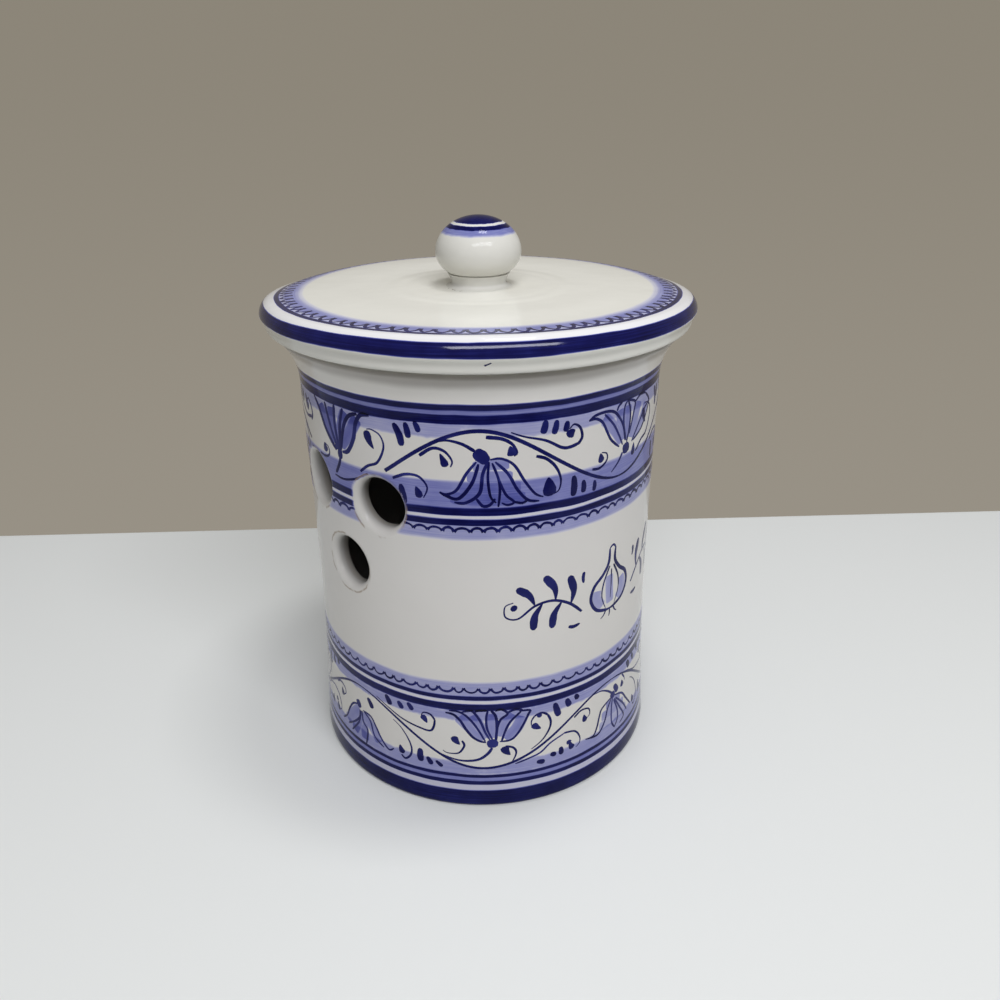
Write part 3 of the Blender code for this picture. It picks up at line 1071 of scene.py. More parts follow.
def mark_jar_point(row, column):
    radius, height = jar_rows[row]
    turn = 2 * pi * column / COLUMNS
    outside = first_outside <= row < first_under
    in_upper, in_lower = wash_heights(turn, height)
    jar_marks["along"].append(height)
    jar_marks["outside"].append(1.0 if outside else 0.0)
    # Below the lip the inside mark grows, so the finish paints the inside darker the deeper it goes.
    depth_inside = min(1.0, max(0.0, (LIP_EDGE_HEIGHT - height) / 12))
    jar_marks["inside"].append(depth_inside if row < first_outside else 0.0)
    jar_marks["vent_distance"].append(wiped(*vent_distance(turn, height)))
    jar_marks["upper_wash"].append(in_upper)
    jar_marks["lower_wash"].append(in_lower)
    jar_marks["load"].append(0.0)


mark_jar_point(0, 0)
for row in range(1, len(jar_rows) - 1):
    for column in range(COLUMNS):
        mark_jar_point(row, column)
mark_jar_point(len(jar_rows) - 1, 0)

jar_faces = turned_faces(len(jar_rows), COLUMNS, patch_cells())
for vent in VENTS:
    cut_vent(vent, jar_points, jar_marks, jar_faces)
painted_jar = as_piece("painted_jar", jar_points, jar_faces, jar_marks, [JAR_GLAZE, CLAY])
for face in painted_jar.data.polygons:
    if all(painted_jar.data.vertices[v].co.z < 0.05 * MM for v in face.vertices):
        face.material_index = 1
print("The jar has", len(painted_jar.data.polygons), "faces")

# %% [markdown]
# ## The lid
#
# The lid is a plate turned from a slab. Its top is flat in the middle and falls a little towards
# the rim, which is rolled round with a thumb. Under the roll its side is slightly hollow and gets
# fuller again at its foot. A locating ring under it keeps it from sliding off the mouth. The top
# isn't quite true: a faint ring is left where the tool was lifted, and the rim came out higher at
# the front and lower at the back.

# %% Lid plate and locating ring
RIM_FRONT_RISE = 1.35
RIM_BACK_FALL = 1.6


def lid_top_height(radius):
    """The even top of the lid, with the faint rings that the throwing left."""
    outward = max(0.0, radius - LID_FLAT_RADIUS) / (RIM_TOP_RADIUS - LID_FLAT_RADIUS)
    ring = 0.03 * cos(pi * (radius - 27) / 3.2) if abs(radius - 27) < 4.8 else 0.0
    ripple = 0.05 * cos(radius / 3.4) + 0.07 * (radius / 65) ** 4
    return LID_TOP - LID_FALL * outward**3 - 0.12 + ring + ripple


def lid_rise(radius, height, turn):
    """How far the hand left the rim higher, or lower where it is negative, than an even one."""
    facing = cos(turn - CAMERA_TURN)
    away = min(1.0, max(0.0, (0.35 - facing) / 0.9))
    reach = RIM_FRONT_RISE * max(0.0, facing) ** 1.5 - RIM_BACK_FALL * away**2 * (3 - 2 * away)
    outward = (radius - LID_FLAT_RADIUS) / (RIM_TOP_RADIUS - LID_FLAT_RADIUS)
    on_roll = (height - RIM_MIDDLE) / (RIM_ROUND * sin(RIM_ROUND_START))
    share = min(1.0, max(0.0, outward)) ** 3 * min(1.0, max(0.0, on_roll))
    return reach * share


lid_top = [(radius, lid_top_height(radius)) for radius in steps(0, RIM_TOP_RADIUS, 60)][:-1]
lid_rim = arc(LID_RADIUS - RIM_ROUND, RIM_MIDDLE, RIM_ROUND, RIM_ROUND_START, RIM_ROUND_END, 26)
lid_edge = curve_through([lid_rim[-1], *RIM_SIDE], 0.25)[1:]
recess_radius = RING_RADIUS + 0.3
lid_under = [(recess_radius, SEAT_HEIGHT), (recess_radius, PLATE_UNDERSIDE), (30, PLATE_UNDERSIDE)]
lid_rows = [*lid_top, *lid_rim, *lid_edge, *lid_under, (0, PLATE_UNDERSIDE)]
painted_lid = turned("painted_lid", lid_rows, COLUMNS, LID_GLAZE)
for vertex in painted_lid.data.vertices:
    radius = hypot(vertex.co.x, vertex.co.y) / MM
    turn = atan2(vertex.co.x, -vertex.co.y)
    vertex.co.z += lid_rise(radius, vertex.co.z / MM, turn) * MM

ring_inside = RING_RADIUS - RING_WIDTH
ring_middle = RING_BOTTOM + RING_EDGE
ring_profile = [
    (ring_inside, PLATE_UNDERSIDE + 0.05),
    (RING_RADIUS, PLATE_UNDERSIDE + 0.05),
    *arc(RING_RADIUS - RING_EDGE, ring_middle, RING_EDGE, 0, -pi / 2, 6),
    *arc(ring_inside + RING_EDGE, ring_middle, RING_EDGE, -pi / 2, -pi, 6),
]
ring_points = []
for radius, height in ring_profile:
    ring_points += [on_ring(radius, height, 2 * pi * column / COLUMNS) for column in range(COLUMNS)]
ring_faces = []
for row in range(len(ring_profile)):
    for column in range(COLUMNS):
        beside = (column + 1) % COLUMNS
        here = row * COLUMNS
        there = (row + 1) % len(ring_profile) * COLUMNS
        ring_faces.append((here + column, here + beside, there + beside, there + column))
ring_marks = {"along": [85.0] * len(ring_points), "load": [0.0] * len(ring_points)}
glazed_ring = as_piece("glazed_locating_ring", ring_points, ring_faces, ring_marks, [LID_GLAZE])
print("The lid is", 2 * LID_RADIUS, "mm across, and its ring", round(2 * RING_RADIUS, 1), "mm")

# %% [markdown]
# ## The knob
#
# The knob was thrown as a squat ball on a short collar and set on the lid with slip. Glaze has
# gathered in a soft fillet round the foot of the collar, and a fine dark seam is left under the
# ball.

# %% Collar and ball
collar_side = []
for share in steps(0, 1, 10):
    straight_side = COLLAR_BASE_RADIUS + (COLLAR_TOP_RADIUS - COLLAR_BASE_RADIUS) * share
    side_radius = straight_side - COLLAR_HOLLOW * sin(pi * share)
    collar_side.append((side_radius, COLLAR_BASE + (COLLAR_TOP - COLLAR_BASE) * share))
fillet = [(10.7, LID_TOP - 0.15), (9.9, LID_TOP + 0.04), (9.3, LID_TOP + 0.3), (8.95, LID_TOP + 0.7)]
collar_rows = [
    (0, LID_TOP - 0.3),
    (10.7, LID_TOP - 0.3),
    *fillet,
    *[row for row in collar_side if row[1] > LID_TOP + 1.0],
    (9.75, COLLAR_TOP + 0.08),
    (9.6, BALL_BASE + 0.1),
    (0, BALL_BASE + 0.1),
]
glazed_collar = turned("glazed_collar", collar_rows, 120, KNOB_GLAZE)
for value in glazed_collar.data.attributes["along"].data:
    value.value = 30.0

crown = [
    (BALL_RADIUS * cos(turn), BALL_MIDDLE + BALL_CROWN * sin(turn)) for turn in steps(pi / 2, 0, 32)
]
flat_turn = asin((BALL_MIDDLE - BALL_BASE) / BALL_UNDERSIDE)
ball_under = [
    (BALL_RADIUS * cos(turn), BALL_MIDDLE - BALL_UNDERSIDE * sin(turn))
    for turn in steps(0, flat_turn, 14)
]
ball_rows = [*crown, *ball_under[1:-1], (COLLAR_TOP_RADIUS - 0.2, BALL_BASE), (0, BALL_BASE)]
painted_ball = turned("painted_ball", ball_rows, 160, KNOB_GLAZE)
knob_tall = BALL_MIDDLE + BALL_CROWN - LID_TOP
print("The knob is", 2 * BALL_RADIUS, "mm across and stands", round(knob_tall, 1), "mm tall")

# %% [markdown]
# ## Brush strokes
#
# The line work was done with a long thin brush. A stroke swells where the brush is pressed and
# ends in a point or a small blob where it is lifted, and thick paint stands up very slightly from
# the glaze. So each stroke is a thin closed lens of paint that lies in the surface and rises a few
# hundredths of a millimetre out of it. Where two strokes cross, they merge as wet paint does. A
# wash is laid with a wide soft brush: its edges fade, and neighbouring sweeps leave pale gaps.

# %% Brush
FORMS = {
    "line": [(0, 0.5), (0.1, 0.9), (0.55, 1.0), (0.9, 0.85), (1, 0.45)],
    "tail": [(0, 0.75), (0.08, 1.0), (0.5, 0.85), (1, 0.35)],
    "lead": [(0, 0.35), (0.5, 0.8), (0.92, 1.05), (1, 0.8)],
    "dab": [(0, 0.35), (0.2, 0.8), (0.6, 1.0), (0.88, 0.85), (1, 0.4)],
    "drop": [(0, 0.1), (0.3, 0.6), (0.65, 1.0), (0.88, 0.85), (1, 0.3)],
    "blob": [(0, 0.4), (0.15, 0.8), (0.5, 1.0), (0.85, 0.8), (1, 0.4)],
    "arch": [(0, 1.15), (0.2, 0.75), (0.5, 0.9), (0.8, 0.75), (1, 1.15)],
    "wash": [(0, 0.7), (0.08, 1.0), (0.92, 1.0), (1, 0.7)],
}
LINE_SECTION = [
    (-1.0, -0.03, 1.0),
    (-0.7, 0.02, 1.0),
    (0.0, 0.04, 1.05),
    (0.7, 0.02, 1.0),
    (1.0, -0.03, 1.0),
]
WASH_SECTION = [
    (-1.0, 0.002, 0.0),
    (-0.8, 0.008, 0.85),
    (0.0, 0.012, 1.0),
    (0.8, 0.008, 0.85),
    (1.0, 0.002, 0.0),
]
PAINT_DEPTH = 0.06
NO_MARKS = {
    "along": 0.0,
    "outside": 0.0,
    "inside": 0.0,
    "vent_distance": 20.0,
    "upper_wash": -5.0,
    "lower_wash": -5.0,
}


def form_width(form, share):
    """Relative width of a stroke at a share of its length."""
    table = FORMS[form]
    for (start, first), (end, second) in zip(table, table[1:]):
        if share <= end:
            return first + (second - first) * (share - start) / (end - start)
    return table[-1][1]


class Paint:
    """Gathers strokes on one surface into one mesh. Lay says where a point of the drawing lies."""

    def __init__(self, lay):
        self.lay = lay
        self.points = []
        self.faces = []
        self.marks = {name: [] for name in MARK_NAMES}

    def add_point(self, across, up, lift, load):
        point, marks = self.lay(across, up, lift)
        self.points.append(point)
        for name, value in marks.items():
            self.marks[name].append(value)
        self.marks["load"].append(load)
        return len(self.points) - 1

    def stroke(self, form, width, drawn, load=0.85, step=0.6, keep_off=0.9, fewest=2):
        """Lays one stroke along the drawn points, and leaves out what would fall into a vent."""
        section = WASH_SECTION if form == "wash" else LINE_SECTION
        line = curve_through(drawn, step)
        rings = []
        for i, (across, up) in enumerate(line):
            before = line[max(0, i - 1)]
            after = line[min(len(line) - 1, i + 1)]
            run = (after[0] - before[0], after[1] - before[1])
            length = hypot(*run) or 1.0
            side = (-run[1] / length, run[0] / length)
            half = width * form_width(form, i / (len(line) - 1)) / 2
            _, marks = self.lay(across, up, 0.0)
            if marks["vent_distance"] < VENT_RADIUS + keep_off + half:
                self.close(rings, fewest)
                rings = []
                continue
            outline = [(q, lift, load * share) for q, lift, share in section]
            outline += [(q, -PAINT_DEPTH, load) for q in (0.8, -0.8)]
            ring = []
            for q, lift, ring_load in outline:
                beside = (across + side[0] * half * q, up + side[1] * half * q)
                ring.append(self.add_point(*beside, lift, ring_load))
            rings.append(ring)
        self.close(rings, fewest)

    def close(self, rings, fewest):
        """Joins cross-sections into a closed sliver of paint, unless it would be a mere scrap."""
        if len(rings) < fewest:
            return
        for first, second in zip(rings, rings[1:]):
            for k in range(len(first)):
                beside = (k + 1) % len(first)
                self.faces.append((first[k], first[beside], second[beside], second[k]))
        self.faces.append(tuple(reversed(rings[0])))
        self.faces.append(tuple(rings[-1]))

    def finish(self, name, material, body):
        piece = as_piece(name, self.points, self.faces, self.marks, [material])
        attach(piece, body)
        print(name, "has", len(self.faces), "faces")
        return piece


def on_wall(phase, middle, squash=1.0):
    """How a drawing lies on the jar's wall: across from a turn, and up from a height."""

    def lay(across, up, lift):
        turn = phase + across / BODY_RADIUS
        height = middle + up * squash
        distance, bearing = vent_distance(turn, height)
        in_upper, in_lower = wash_heights(turn, height)
        marks = {
            "along": height,
            "outside": 1.0,
            "inside": 0.0,
            "vent_distance": wiped(distance, bearing),
            "upper_wash": in_upper,
            "lower_wash": in_lower,
        }
        radius = wall_radius(height) - flare_depth(distance) + lift
        return on_ring(radius, height, turn), marks

    return lay


def on_lid(across, radius, lift):
    """How a drawing lies on the lid: across along a circle of 60 mm, and out from the middle."""
    turn = across / 60
    marks = dict(NO_MARKS, along=radius, outside=1.0)
    even = lid_top_height(radius)
    return on_ring(radius, even + lid_rise(radius, even, turn) + lift, turn), marks


print("The brush knows", len(FORMS), "kinds of stroke")

# %% [markdown]
# ## Places read off the photo
#
# Most places of the seen strokes were read off six enlarged views of the photo. A view has
# a corner, in pixels of the whole picture, and an enlargement, and a place in it is given as right
# and down from that corner. The sight line through the place meets the jar's wall, and that tells
# how far across and how far up the place lies in its band. Places that were moved later,
# and the hidden ones, are plain millimetres.

# %% Views of the photo
PICTURE_MIDDLE = 500
PICTURE_AWAY = 2 * PICTURE_MIDDLE * LENS_LENGTH / SENSOR_WIDTH
READ_ROUND = 60.0
UPPER_WALL = 60.0
LOWER_WALL = 60.5
LOWER_READ_FROM = 25.6
UPPER_STANDING_AT = 48.8
LOWER_HANGING_AT = 47.4


def view(corner, enlargement, phase, middle, wall, at=0.0):
    """Makes a reader, which turns places in one enlarged view into places on a band."""
    eye = camera.matrix_world.translation / MM
    facing = camera.matrix_world.to_3x3()

    def read_off(*places):
        found = []
        for right, down in places:
            aside = corner[0] + right / enlargement - PICTURE_MIDDLE
            below = corner[1] + down / enlargement - PICTURE_MIDDLE
            sight = facing @ Vector((aside, -below, -PICTURE_AWAY))
            sideways = sight.x**2 + sight.y**2
            towards = eye.x * sight.x + eye.y * sight.y
            outside = eye.x**2 + eye.y**2 - wall**2
            reach = (-towards - sqrt(max(0.0, towards**2 - sideways * outside))) / sideways
            met = eye + reach * sight
            turn = atan2(met.x, -met.y) - phase
            found.append((turn * READ_ROUND - at, met.z - middle))
        return found

    return read_off


UPPER_BAND = (UPPER_PHASE, UPPER_MIDDLE, UPPER_WALL)
LOWER_BAND = (LOWER_PHASE, LOWER_READ_FROM, LOWER_WALL)
upper_left = view((290, 365), 8.25, *UPPER_BAND)
upper_front = view((430, 365), 9.5, *UPPER_BAND)
upper_right = view((540, 355), 8.96, *UPPER_BAND)
upper_right_flower = view((540, 355), 8.96, *UPPER_BAND, at=UPPER_STANDING_AT)
lower_left = view((320, 655), 10.453, *LOWER_BAND)
lower_front = view((430, 680), 11.2, *LOWER_BAND)
lower_right = view((540, 640), 9.8, *LOWER_BAND)
lower_right_flower = view((540, 640), 9.8, *LOWER_BAND, at=LOWER_HANGING_AT)
first_seen = upper_front((0, 0))[0]
print("The upper front view begins", round(first_seen[0], 1), "mm across from the hanging flower")

# %% [markdown]
# ## The upper vine
#
# One repeat is drawn flat, in millimetres across from its hanging flower and up from the middle of
# the band. A tulip-like flower hangs under the crest of the stem and another stands in its trough,
# and between them are curled tendrils with round buds and short dabs of a full brush. The painter
# did each repeat afresh, so the other three wander a little from the first.

# %% Upper vine, one repeat
UPPER_HANGING_FLOWER = [
    ("lead", 1.3, upper_front((0, 740), (150, 715), (300, 750)) + [(-2, 5)]),
    ("blob", 5.0, [(-2, 5), (0, 3.2), (1.5, 1.4)]),
    ("line", 1.2, upper_front((440, 920), (340, 1040), (250, 1190), (150, 1230), (90, 1205))),
    (
        "line",
        1.5,
        upper_front((460, 940))
        + [(-3, -5)]
        + upper_front((270, 1270), (150, 1240))
        + [(-12.5, -8)],
    ),
    ("line", 1.5, upper_front((550, 920), (500, 1040), (470, 1220), (340, 1310), (230, 1305))),
    ("line", 1.15, upper_front((560, 920), (550, 1080), (575, 1250), (630, 1310))),
    ("line", 1.15, upper_front((590, 930), (650, 1080), (665, 1200), (650, 1350))),
    ("line", 1.15, [(4.4, -3)] + upper_front((720, 1230), (800, 1300), (740, 1330), (680, 1310))),
    ("line", 1.3, upper_front((620, 920), (740, 1030), (830, 1180), (930, 1280), (1040, 1290))),
    ("line", 1.15, upper_front((930, 1280), (880, 1310), (800, 1300))),
    (
        "line",
        1.1,
        upper_front((570, 900), (680, 890), (800, 950), (900, 1100), (1000, 1220), (1080, 1250)),
    ),
    ("line", 1.35, upper_front((440, 1270), (500, 1340), (570, 1330), (620, 1270))),
]
UPPER_BUDS = [
    ("tail", 1.5, upper_front((530, 685), (680, 700), (780, 750), (830, 830), (800, 865))),
    ("drop", 3.6, [(8, 6.2)] + upper_front((775, 820)) + [(8.8, 3.2)]),
    (
        "tail",
        1.3,
        upper_front((1010, 865), (1110, 890), (1200, 970), (1245, 1080), (1230, 1180))
        + [(21.5, -10.3)],
    ),
    ("drop", 5.4, [(19.6, -4.8), (20, -8), (20.2, -10.8)]),
    ("tail", 1.35, upper_left((1065, 745), (1170, 685), (1270, 710), (1335, 790)) + [(-9, 0)]),
    ("drop", 2.9, upper_left((1235, 730)) + [(-11, 1.8)] + upper_left((1285, 840))),
    ("tail", 1.2, upper_left((845, 930), (950, 900), (1060, 920), (1130, 1010), (1100, 1095))),
    ("drop", 3.0, upper_left((1035, 1000)) + [(-19, -8.8)] + upper_left((1070, 1095))),
    (
        "lead",
        1.3,
        upper_front((770, 640), (900, 680), (1100, 715), (1250, 780)) + [(26.3, 3.6), (29.7, 4.4)],
    ),
    ("tail", 1.3, [(29, 4), (30.4, 6), (29.6, 9), (27.5, 10.4), (26, 9.2)]),
    ("drop", 3.6, [(27.9, 8.6)] + upper_right((285, 690)) + [(25.6, 6.8)]),
    (
        "tail",
        1.15,
        upper_left((580, 875), (640, 830), (720, 800), (770, 680), (740, 580), (670, 530))
        + [(-35.2, 8.4)],
    ),
    ("drop", 3.5, upper_left((690, 690)) + [(-34.6, 5), (-35.4, 8)]),
    ("tail", 1.1, upper_right((470, 1025), (540, 1010), (600, 940), (600, 880)) + [(38.2, -0.8)]),
    ("drop", 3.0, upper_right((545, 880)) + [(38, -2.4)] + upper_right((555, 960))),
]
UPPER_DABS = [
    ("dab", 2.9, upper_left((850, 475)) + [(-24, 8.6)] + upper_left((920, 665))),
    ("dab", 2.5, upper_left((945, 470)) + [(-21.4, 10)] + upper_left((975, 600))),
    ("dab", 2.25, [(-19.2, 13.2), (-18.4, 11.6), (-17.9, 10)]),
    ("dab", 2.75, [(18.4, 13), (18.2, 11), (17.6, 9)]),
    ("dab", 2.5, [(21.8, 12.6), (21.6, 10.6), (21, 8.4)]),
    ("dab", 2.5, [(25.2, 11.8), (25, 10), (24.6, 8.6)]),
    ("dab", 2.9, upper_right((305, 1080)) + [(28.3, -9), (28, -12.4)]),
    ("dab", 2.4, upper_right((390, 1120)) + [(31.8, -10)] + upper_right((390, 1230))),
    ("dab", 2.0, upper_right((490, 1120)) + [(36, -10.6)] + upper_right((485, 1215))),
    ("dab", 2.9, upper_left((910, 980)) + [(-24, -10), (-23.6, -13)]),
]
UPPER_STANDING_FLOWER = [
    ("lead", 1.2, upper_right_flower((640, 1050), (700, 960), (740, 870))),
    ("blob", 4.5, [(-0.9, -2.8), (0.8, -2.4), (2.5, -2)]),
    (
        "line",
        1.2,
        upper_right_flower((440, 590), (500, 570), (560, 600), (600, 680), (640, 760), (710, 820)),
    ),
    (
        "line",
        1.2,
        upper_right_flower(
            (440, 590), (500, 540), (600, 505), (670, 510), (720, 570), (750, 650), (760, 760),
        ),
    ),
    ("line", 1.1, upper_right_flower((580, 530), (660, 620), (710, 720), (740, 800))),
    ("line", 1.1, upper_right_flower((690, 500)) + [(-4, 12.4), (-2.5, 13)]),
    ("line", 1.15, upper_right_flower((770, 760), (750, 600), (760, 460), (790, 400))),
    ("line", 1.15, upper_right_flower((790, 400), (810, 500), (800, 640), (775, 780))),
    ("line", 1.15, upper_right_flower((790, 400), (850, 410), (840, 500), (800, 700))),
    ("line", 1.2, upper_right_flower((820, 770), (870, 640), (930, 480), (970, 390), (940, 330))),
    ("line", 1.2, [(4.5, -1), (9.4, 1.2), (13, 5.2), (15.2, 9.6)]),
    ("line", 1.15, [(4.6, 11.4), (7.4, 12.9)] + upper_right_flower((940, 330))),
    ("drop", 2.75, upper_right_flower((840, 780)) + [(5.2, -4)] + upper_right_flower((830, 890))),
]
UPPER_WASHES = [
    (0.24, 3.6, [(-2.6, 0.2), (2.5, 0.7), (7.8, 0.8)]),
    (0.24, 3.8, [(-4.4, -3), (2, -2.9), (8.8, -3.2)]),
    (0.13, 4.0, [(-6.6, -6.4), (2, -6.4), (11.2, -6.4)]),
    (0.13, 4.3, [(-9.4, -9.6), (2, -10.2), (12.6, -10)]),
]
UPPER_STANDING_WASHES = [
    (0.22, 4.6, [(-1.5, 0.6), (-5.6, 5.6), (-10.5, 10)]),
    (0.22, 4.1, [(0, 1.4), (-2.6, 6.4), (-3.4, 11)]),
    (0.22, 3.8, [(0.6, 0.8), (0.6, 6.4), (0.8, 11.4)]),
    (0.22, 4.3, [(3, 0.4), (5.2, 6), (7, 11)]),
    (0.22, 4.3, [(4.6, 0.4), (9.2, 4.4), (12.4, 9)]),
]
UPPER_LEFT_FLOWER = [
    ("blob", 3.0, [(-47.6, -0.6), (-47.7, -2.2), (-47.8, -4)]),
    ("line", 1.5, [(-47.7, -3.4), (-48.8, -6.2), (-50.8, -9.4)]),
    ("line", 1.0, [(-51.5, -10.3), (-48, -10.6), (-44.6, -10), (-40.3, -8.4), (-36.2, -5.9)]),
    (
        "line",
        1.9,
        [(-46.4, -1.4), (-43.7, -0.4), (-40.8, 4.2)]
        + upper_left((540, 480), (580, 410), (650, 415)),
    ),
    ("line", 1.75, [(-47, -0.8), (-44.9, 6.8)] + upper_left((480, 420), (550, 400))),
    ("line", 1.75, [(-47.5, -1), (-46.5, 7), (-44.6, 12.8)]),
    ("line", 1.75, [(-48.1, -1), (-49, 7), (-48.6, 13.2)]),
    ("line", 1.75, [(-48.7, -1.2), (-51.8, 6.6), (-53.6, 12.8)]),
    ("line", 1.9, [(-49.4, -1.6), (-54.3, 3.9), (-57.5, 9.8), (-60.5, 13.2)]),
]
UPPER_LEFT_WASHES = [
    (0.34, 4.6, [(-47, 0.6), (-42.6, 5.4), (-38.6, 11)]),
    (0.34, 4.4, [(-48, 1), (-46, 7), (-43.6, 12)]),
    (0.34, 4.2, [(-48.8, 1), (-50, 7), (-50.4, 12)]),
    (0.34, 4.6, [(-50, 0.6), (-53.4, 6), (-56.6, 11.4)]),
]
upper_strokes = UPPER_HANGING_FLOWER + UPPER_BUDS + UPPER_DABS
print("One repeat of the upper vine has", len(upper_strokes), "strokes")

# %% [markdown]
# The stem is drawn once round the whole band. It stops well short of each vent, and bits of it that
# would be left alone between two vents are left out.

# %% Paint a band
STEM_KEEPS_OFF = 3.9
SHORTEST_STEM = 20


def moved(strokes, across, up, draws, wander):
    """The same strokes somewhere else, each point off by as much as a hand would be."""
    shifted = []
    for form, width, drawn in strokes:
        off = (draws.gauss(0, wander), draws.gauss(0, wander))
        points = [
            (
                x + across + off[0] + draws.gauss(0, wander * 0.35),
                y + up + off[1] + draws.gauss(0, wander * 0.35),
            )
            for x, y in drawn
        ]
        shifted.append((form, width * (1 + draws.gauss(0, wander * 0.2)), points))
    return shifted


def placements(first, at, second, left):
    """Where each drawing goes: the seen ones as drawn, and the rest off as a hand would be."""
    placed = [(0.0, *first, 0.0), (at, *second, 0.0), (0.0, *left, 0.0)]
    placed += [(quarter * REPEAT, *first, 0.35) for quarter in (1, 2, 3)]
    placed += [(quarter * REPEAT + at, *second, 0.35) for quarter in (1, 2)]
    return placed


def paint_band(name, surface, stem, stem_width, placed, seed):
    """Paints a whole band: the stem, then the line work and the washes of each drawing."""
    draws = Random(seed)
    lines = Paint(surface)
    washes = Paint(surface)
    for quarter in range(4):
        start = (quarter - 0.5) * REPEAT
        drawn = [(start + REPEAT * i / 48, stem(start + REPEAT * i / 48)) for i in range(49)]
        lines.stroke(
            "line", stem_width, drawn, load=0.9, keep_off=STEM_KEEPS_OFF, fewest=SHORTEST_STEM
        )
    for at, strokes, sweeps, wander in placed:
        shift = at + draws.gauss(0, 2 * wander)
        for form, width, points in moved(strokes, shift, 0, draws, wander):
            lines.stroke(form, width, points, load=draws.uniform(0.75, 1.0))
        for load, width, points in sweeps:
            sweep = moved([("wash", width, points)], shift, 0, draws, wander)[0]
            washes.stroke("wash", sweep[1], sweep[2], load=load * draws.uniform(0.85, 1.15))
    lines.finish(name + "_lines", JAR_GLAZE, "jar")
    washes.finish(name + "_washes", JAR_GLAZE, "jar")


upper_drawings = placements(
    (upper_strokes, UPPER_WASHES),
    UPPER_STANDING_AT,
    (UPPER_STANDING_FLOWER, UPPER_STANDING_WASHES),
    (UPPER_LEFT_FLOWER, UPPER_LEFT_WASHES),
)
paint_band("upper_vine", on_wall(UPPER_PHASE, UPPER_MIDDLE), upper_stem, 1.5, upper_drawings, seed=11)

# %% [markdown]
# ## The lower vine
#
# The lower band has the same kind of vine, but here a flower stands in front, and its line work is
# finer. It is drawn across from that flower, and the hanging one is half a repeat to its right.

# %% Lower vine
LOWER_STANDING_FLOWER = [
    ("blob", 4.75, [(0, 1.6)] + lower_front((700, 720)) + [(0.3, -1.9)]),
    (
        "tail",
        1.35,
        [(0, -2)] + lower_front((650, 830), (560, 890), (440, 910), (300, 895), (130, 830)),
    ),
    (
        "line",
        1.3,
        lower_front(
            (170, 375), (260, 400), (340, 470), (400, 560), (480, 650), (560, 695), (630, 710),
        ),
    ),
    (
        "line",
        1.1,
        lower_front((210, 355), (300, 365), (380, 400), (460, 470), (540, 570), (620, 700)),
    ),
    (
        "line",
        1.2,
        lower_front((350, 375))
        + [(-7.7, 13.2)]
        + lower_front((480, 370), (560, 470), (620, 600), (670, 680)),
    ),
    ("line", 1.2, [(-5.4, 12.9), (-4.3, 13.4), (-1.4, 13.4)]),
    ("line", 1.1, [(-1.2, 13.4)] + lower_front((630, 440), (640, 560), (700, 680))),
    ("line", 1.35, [(-0.2, 13.4)] + lower_front((735, 420), (750, 540), (735, 680))),
    (
        "line",
        1.2,
        lower_front((730, 365), (800, 345), (870, 390), (790, 460), (750, 560), (745, 680)),
    ),
    ("line", 1.2, lower_front((870, 380), (950, 345), (1040, 345))),
    ("line", 1.15, lower_front((1020, 365), (900, 480), (840, 590), (800, 700))),
    (
        "line",
        1.15,
        lower_front(
            (1000, 360), (1120, 350), (1100, 400), (1050, 500), (980, 610), (900, 680), (780, 700),
        ),
    ),
]
LOWER_BUDS = [
    (
        "lead",
        1.0,
        lower_front((150, 790), (200, 820), (320, 825), (375, 770), (385, 730), (360, 690)),
    ),
    ("drop", 3.25, [(-10.6, -0.8), (-12, 0.8)] + lower_front((265, 640))),
    (
        "lead",
        1.0,
        lower_left(
            (590, 440), (700, 540), (860, 670), (1030, 760), (1150, 800), (1190, 760), (1200, 690),
        ),
    ),
    ("tail", 1.0, lower_left((1200, 690), (1150, 630), (1080, 610)) + [(-23.6, 9)]),
    ("drop", 2.9, lower_left((1120, 720)) + [(-22.4, 7.8), (-23.4, 9.2)]),
    (
        "lead",
        1.0,
        lower_left(
            (770, 680), (850, 760), (930, 880), (970, 980), (960, 1050), (910, 1080), (870, 1040),
        ),
    ),
    ("drop", 3.0, lower_left((850, 940)) + [(-31.6, -7.8)] + lower_left((890, 1030))),
    ("lead", 1.1, lower_front((900, 940), (950, 860), (960, 800), (920, 760)) + [(4.4, -1.7)]),
    ("drop", 3.6, [(6, -5.4), (4.6, -3.8), (3.8, -1.8)]),
    ("lead", 1.1, lower_front((1130, 780), (1250, 680), (1330, 560), (1350, 470)) + [(19, 8.4)]),
    ("tail", 1.1, [(19, 8.4), (17, 9.8), (14.6, 9.2), (13.3, 7.4), (13.2, 5.4)]),
    ("drop", 3.0, [(16.5, 3.4), (15, 4.4), (13.6, 5.8)]),
    ("blob", 2.25, [(15.2, 8.6), (16, 8.9), (16.9, 9)]),
    ("line", 0.9, lower_front((950, 940), (1100, 880)) + [(16.4, -6.6), (20.1, -3.6), (26, -1.2)]),
    ("tail", 1.0, [(25, -1.4)] + lower_right((330, 900), (375, 950), (370, 1010)) + [(29.7, -9.4)]),
    ("drop", 2.9, lower_right((280, 1000)) + [(27.6, -7.6), (28.5, -9.2)]),
    ("tail", 1.0, lower_right((330, 770), (400, 700), (470, 680), (480, 730)) + [(34.2, 0.6)]),
    ("drop", 2.75, [(33.2, 2.8), (33.4, 1.2)] + lower_right((440, 800))),
]
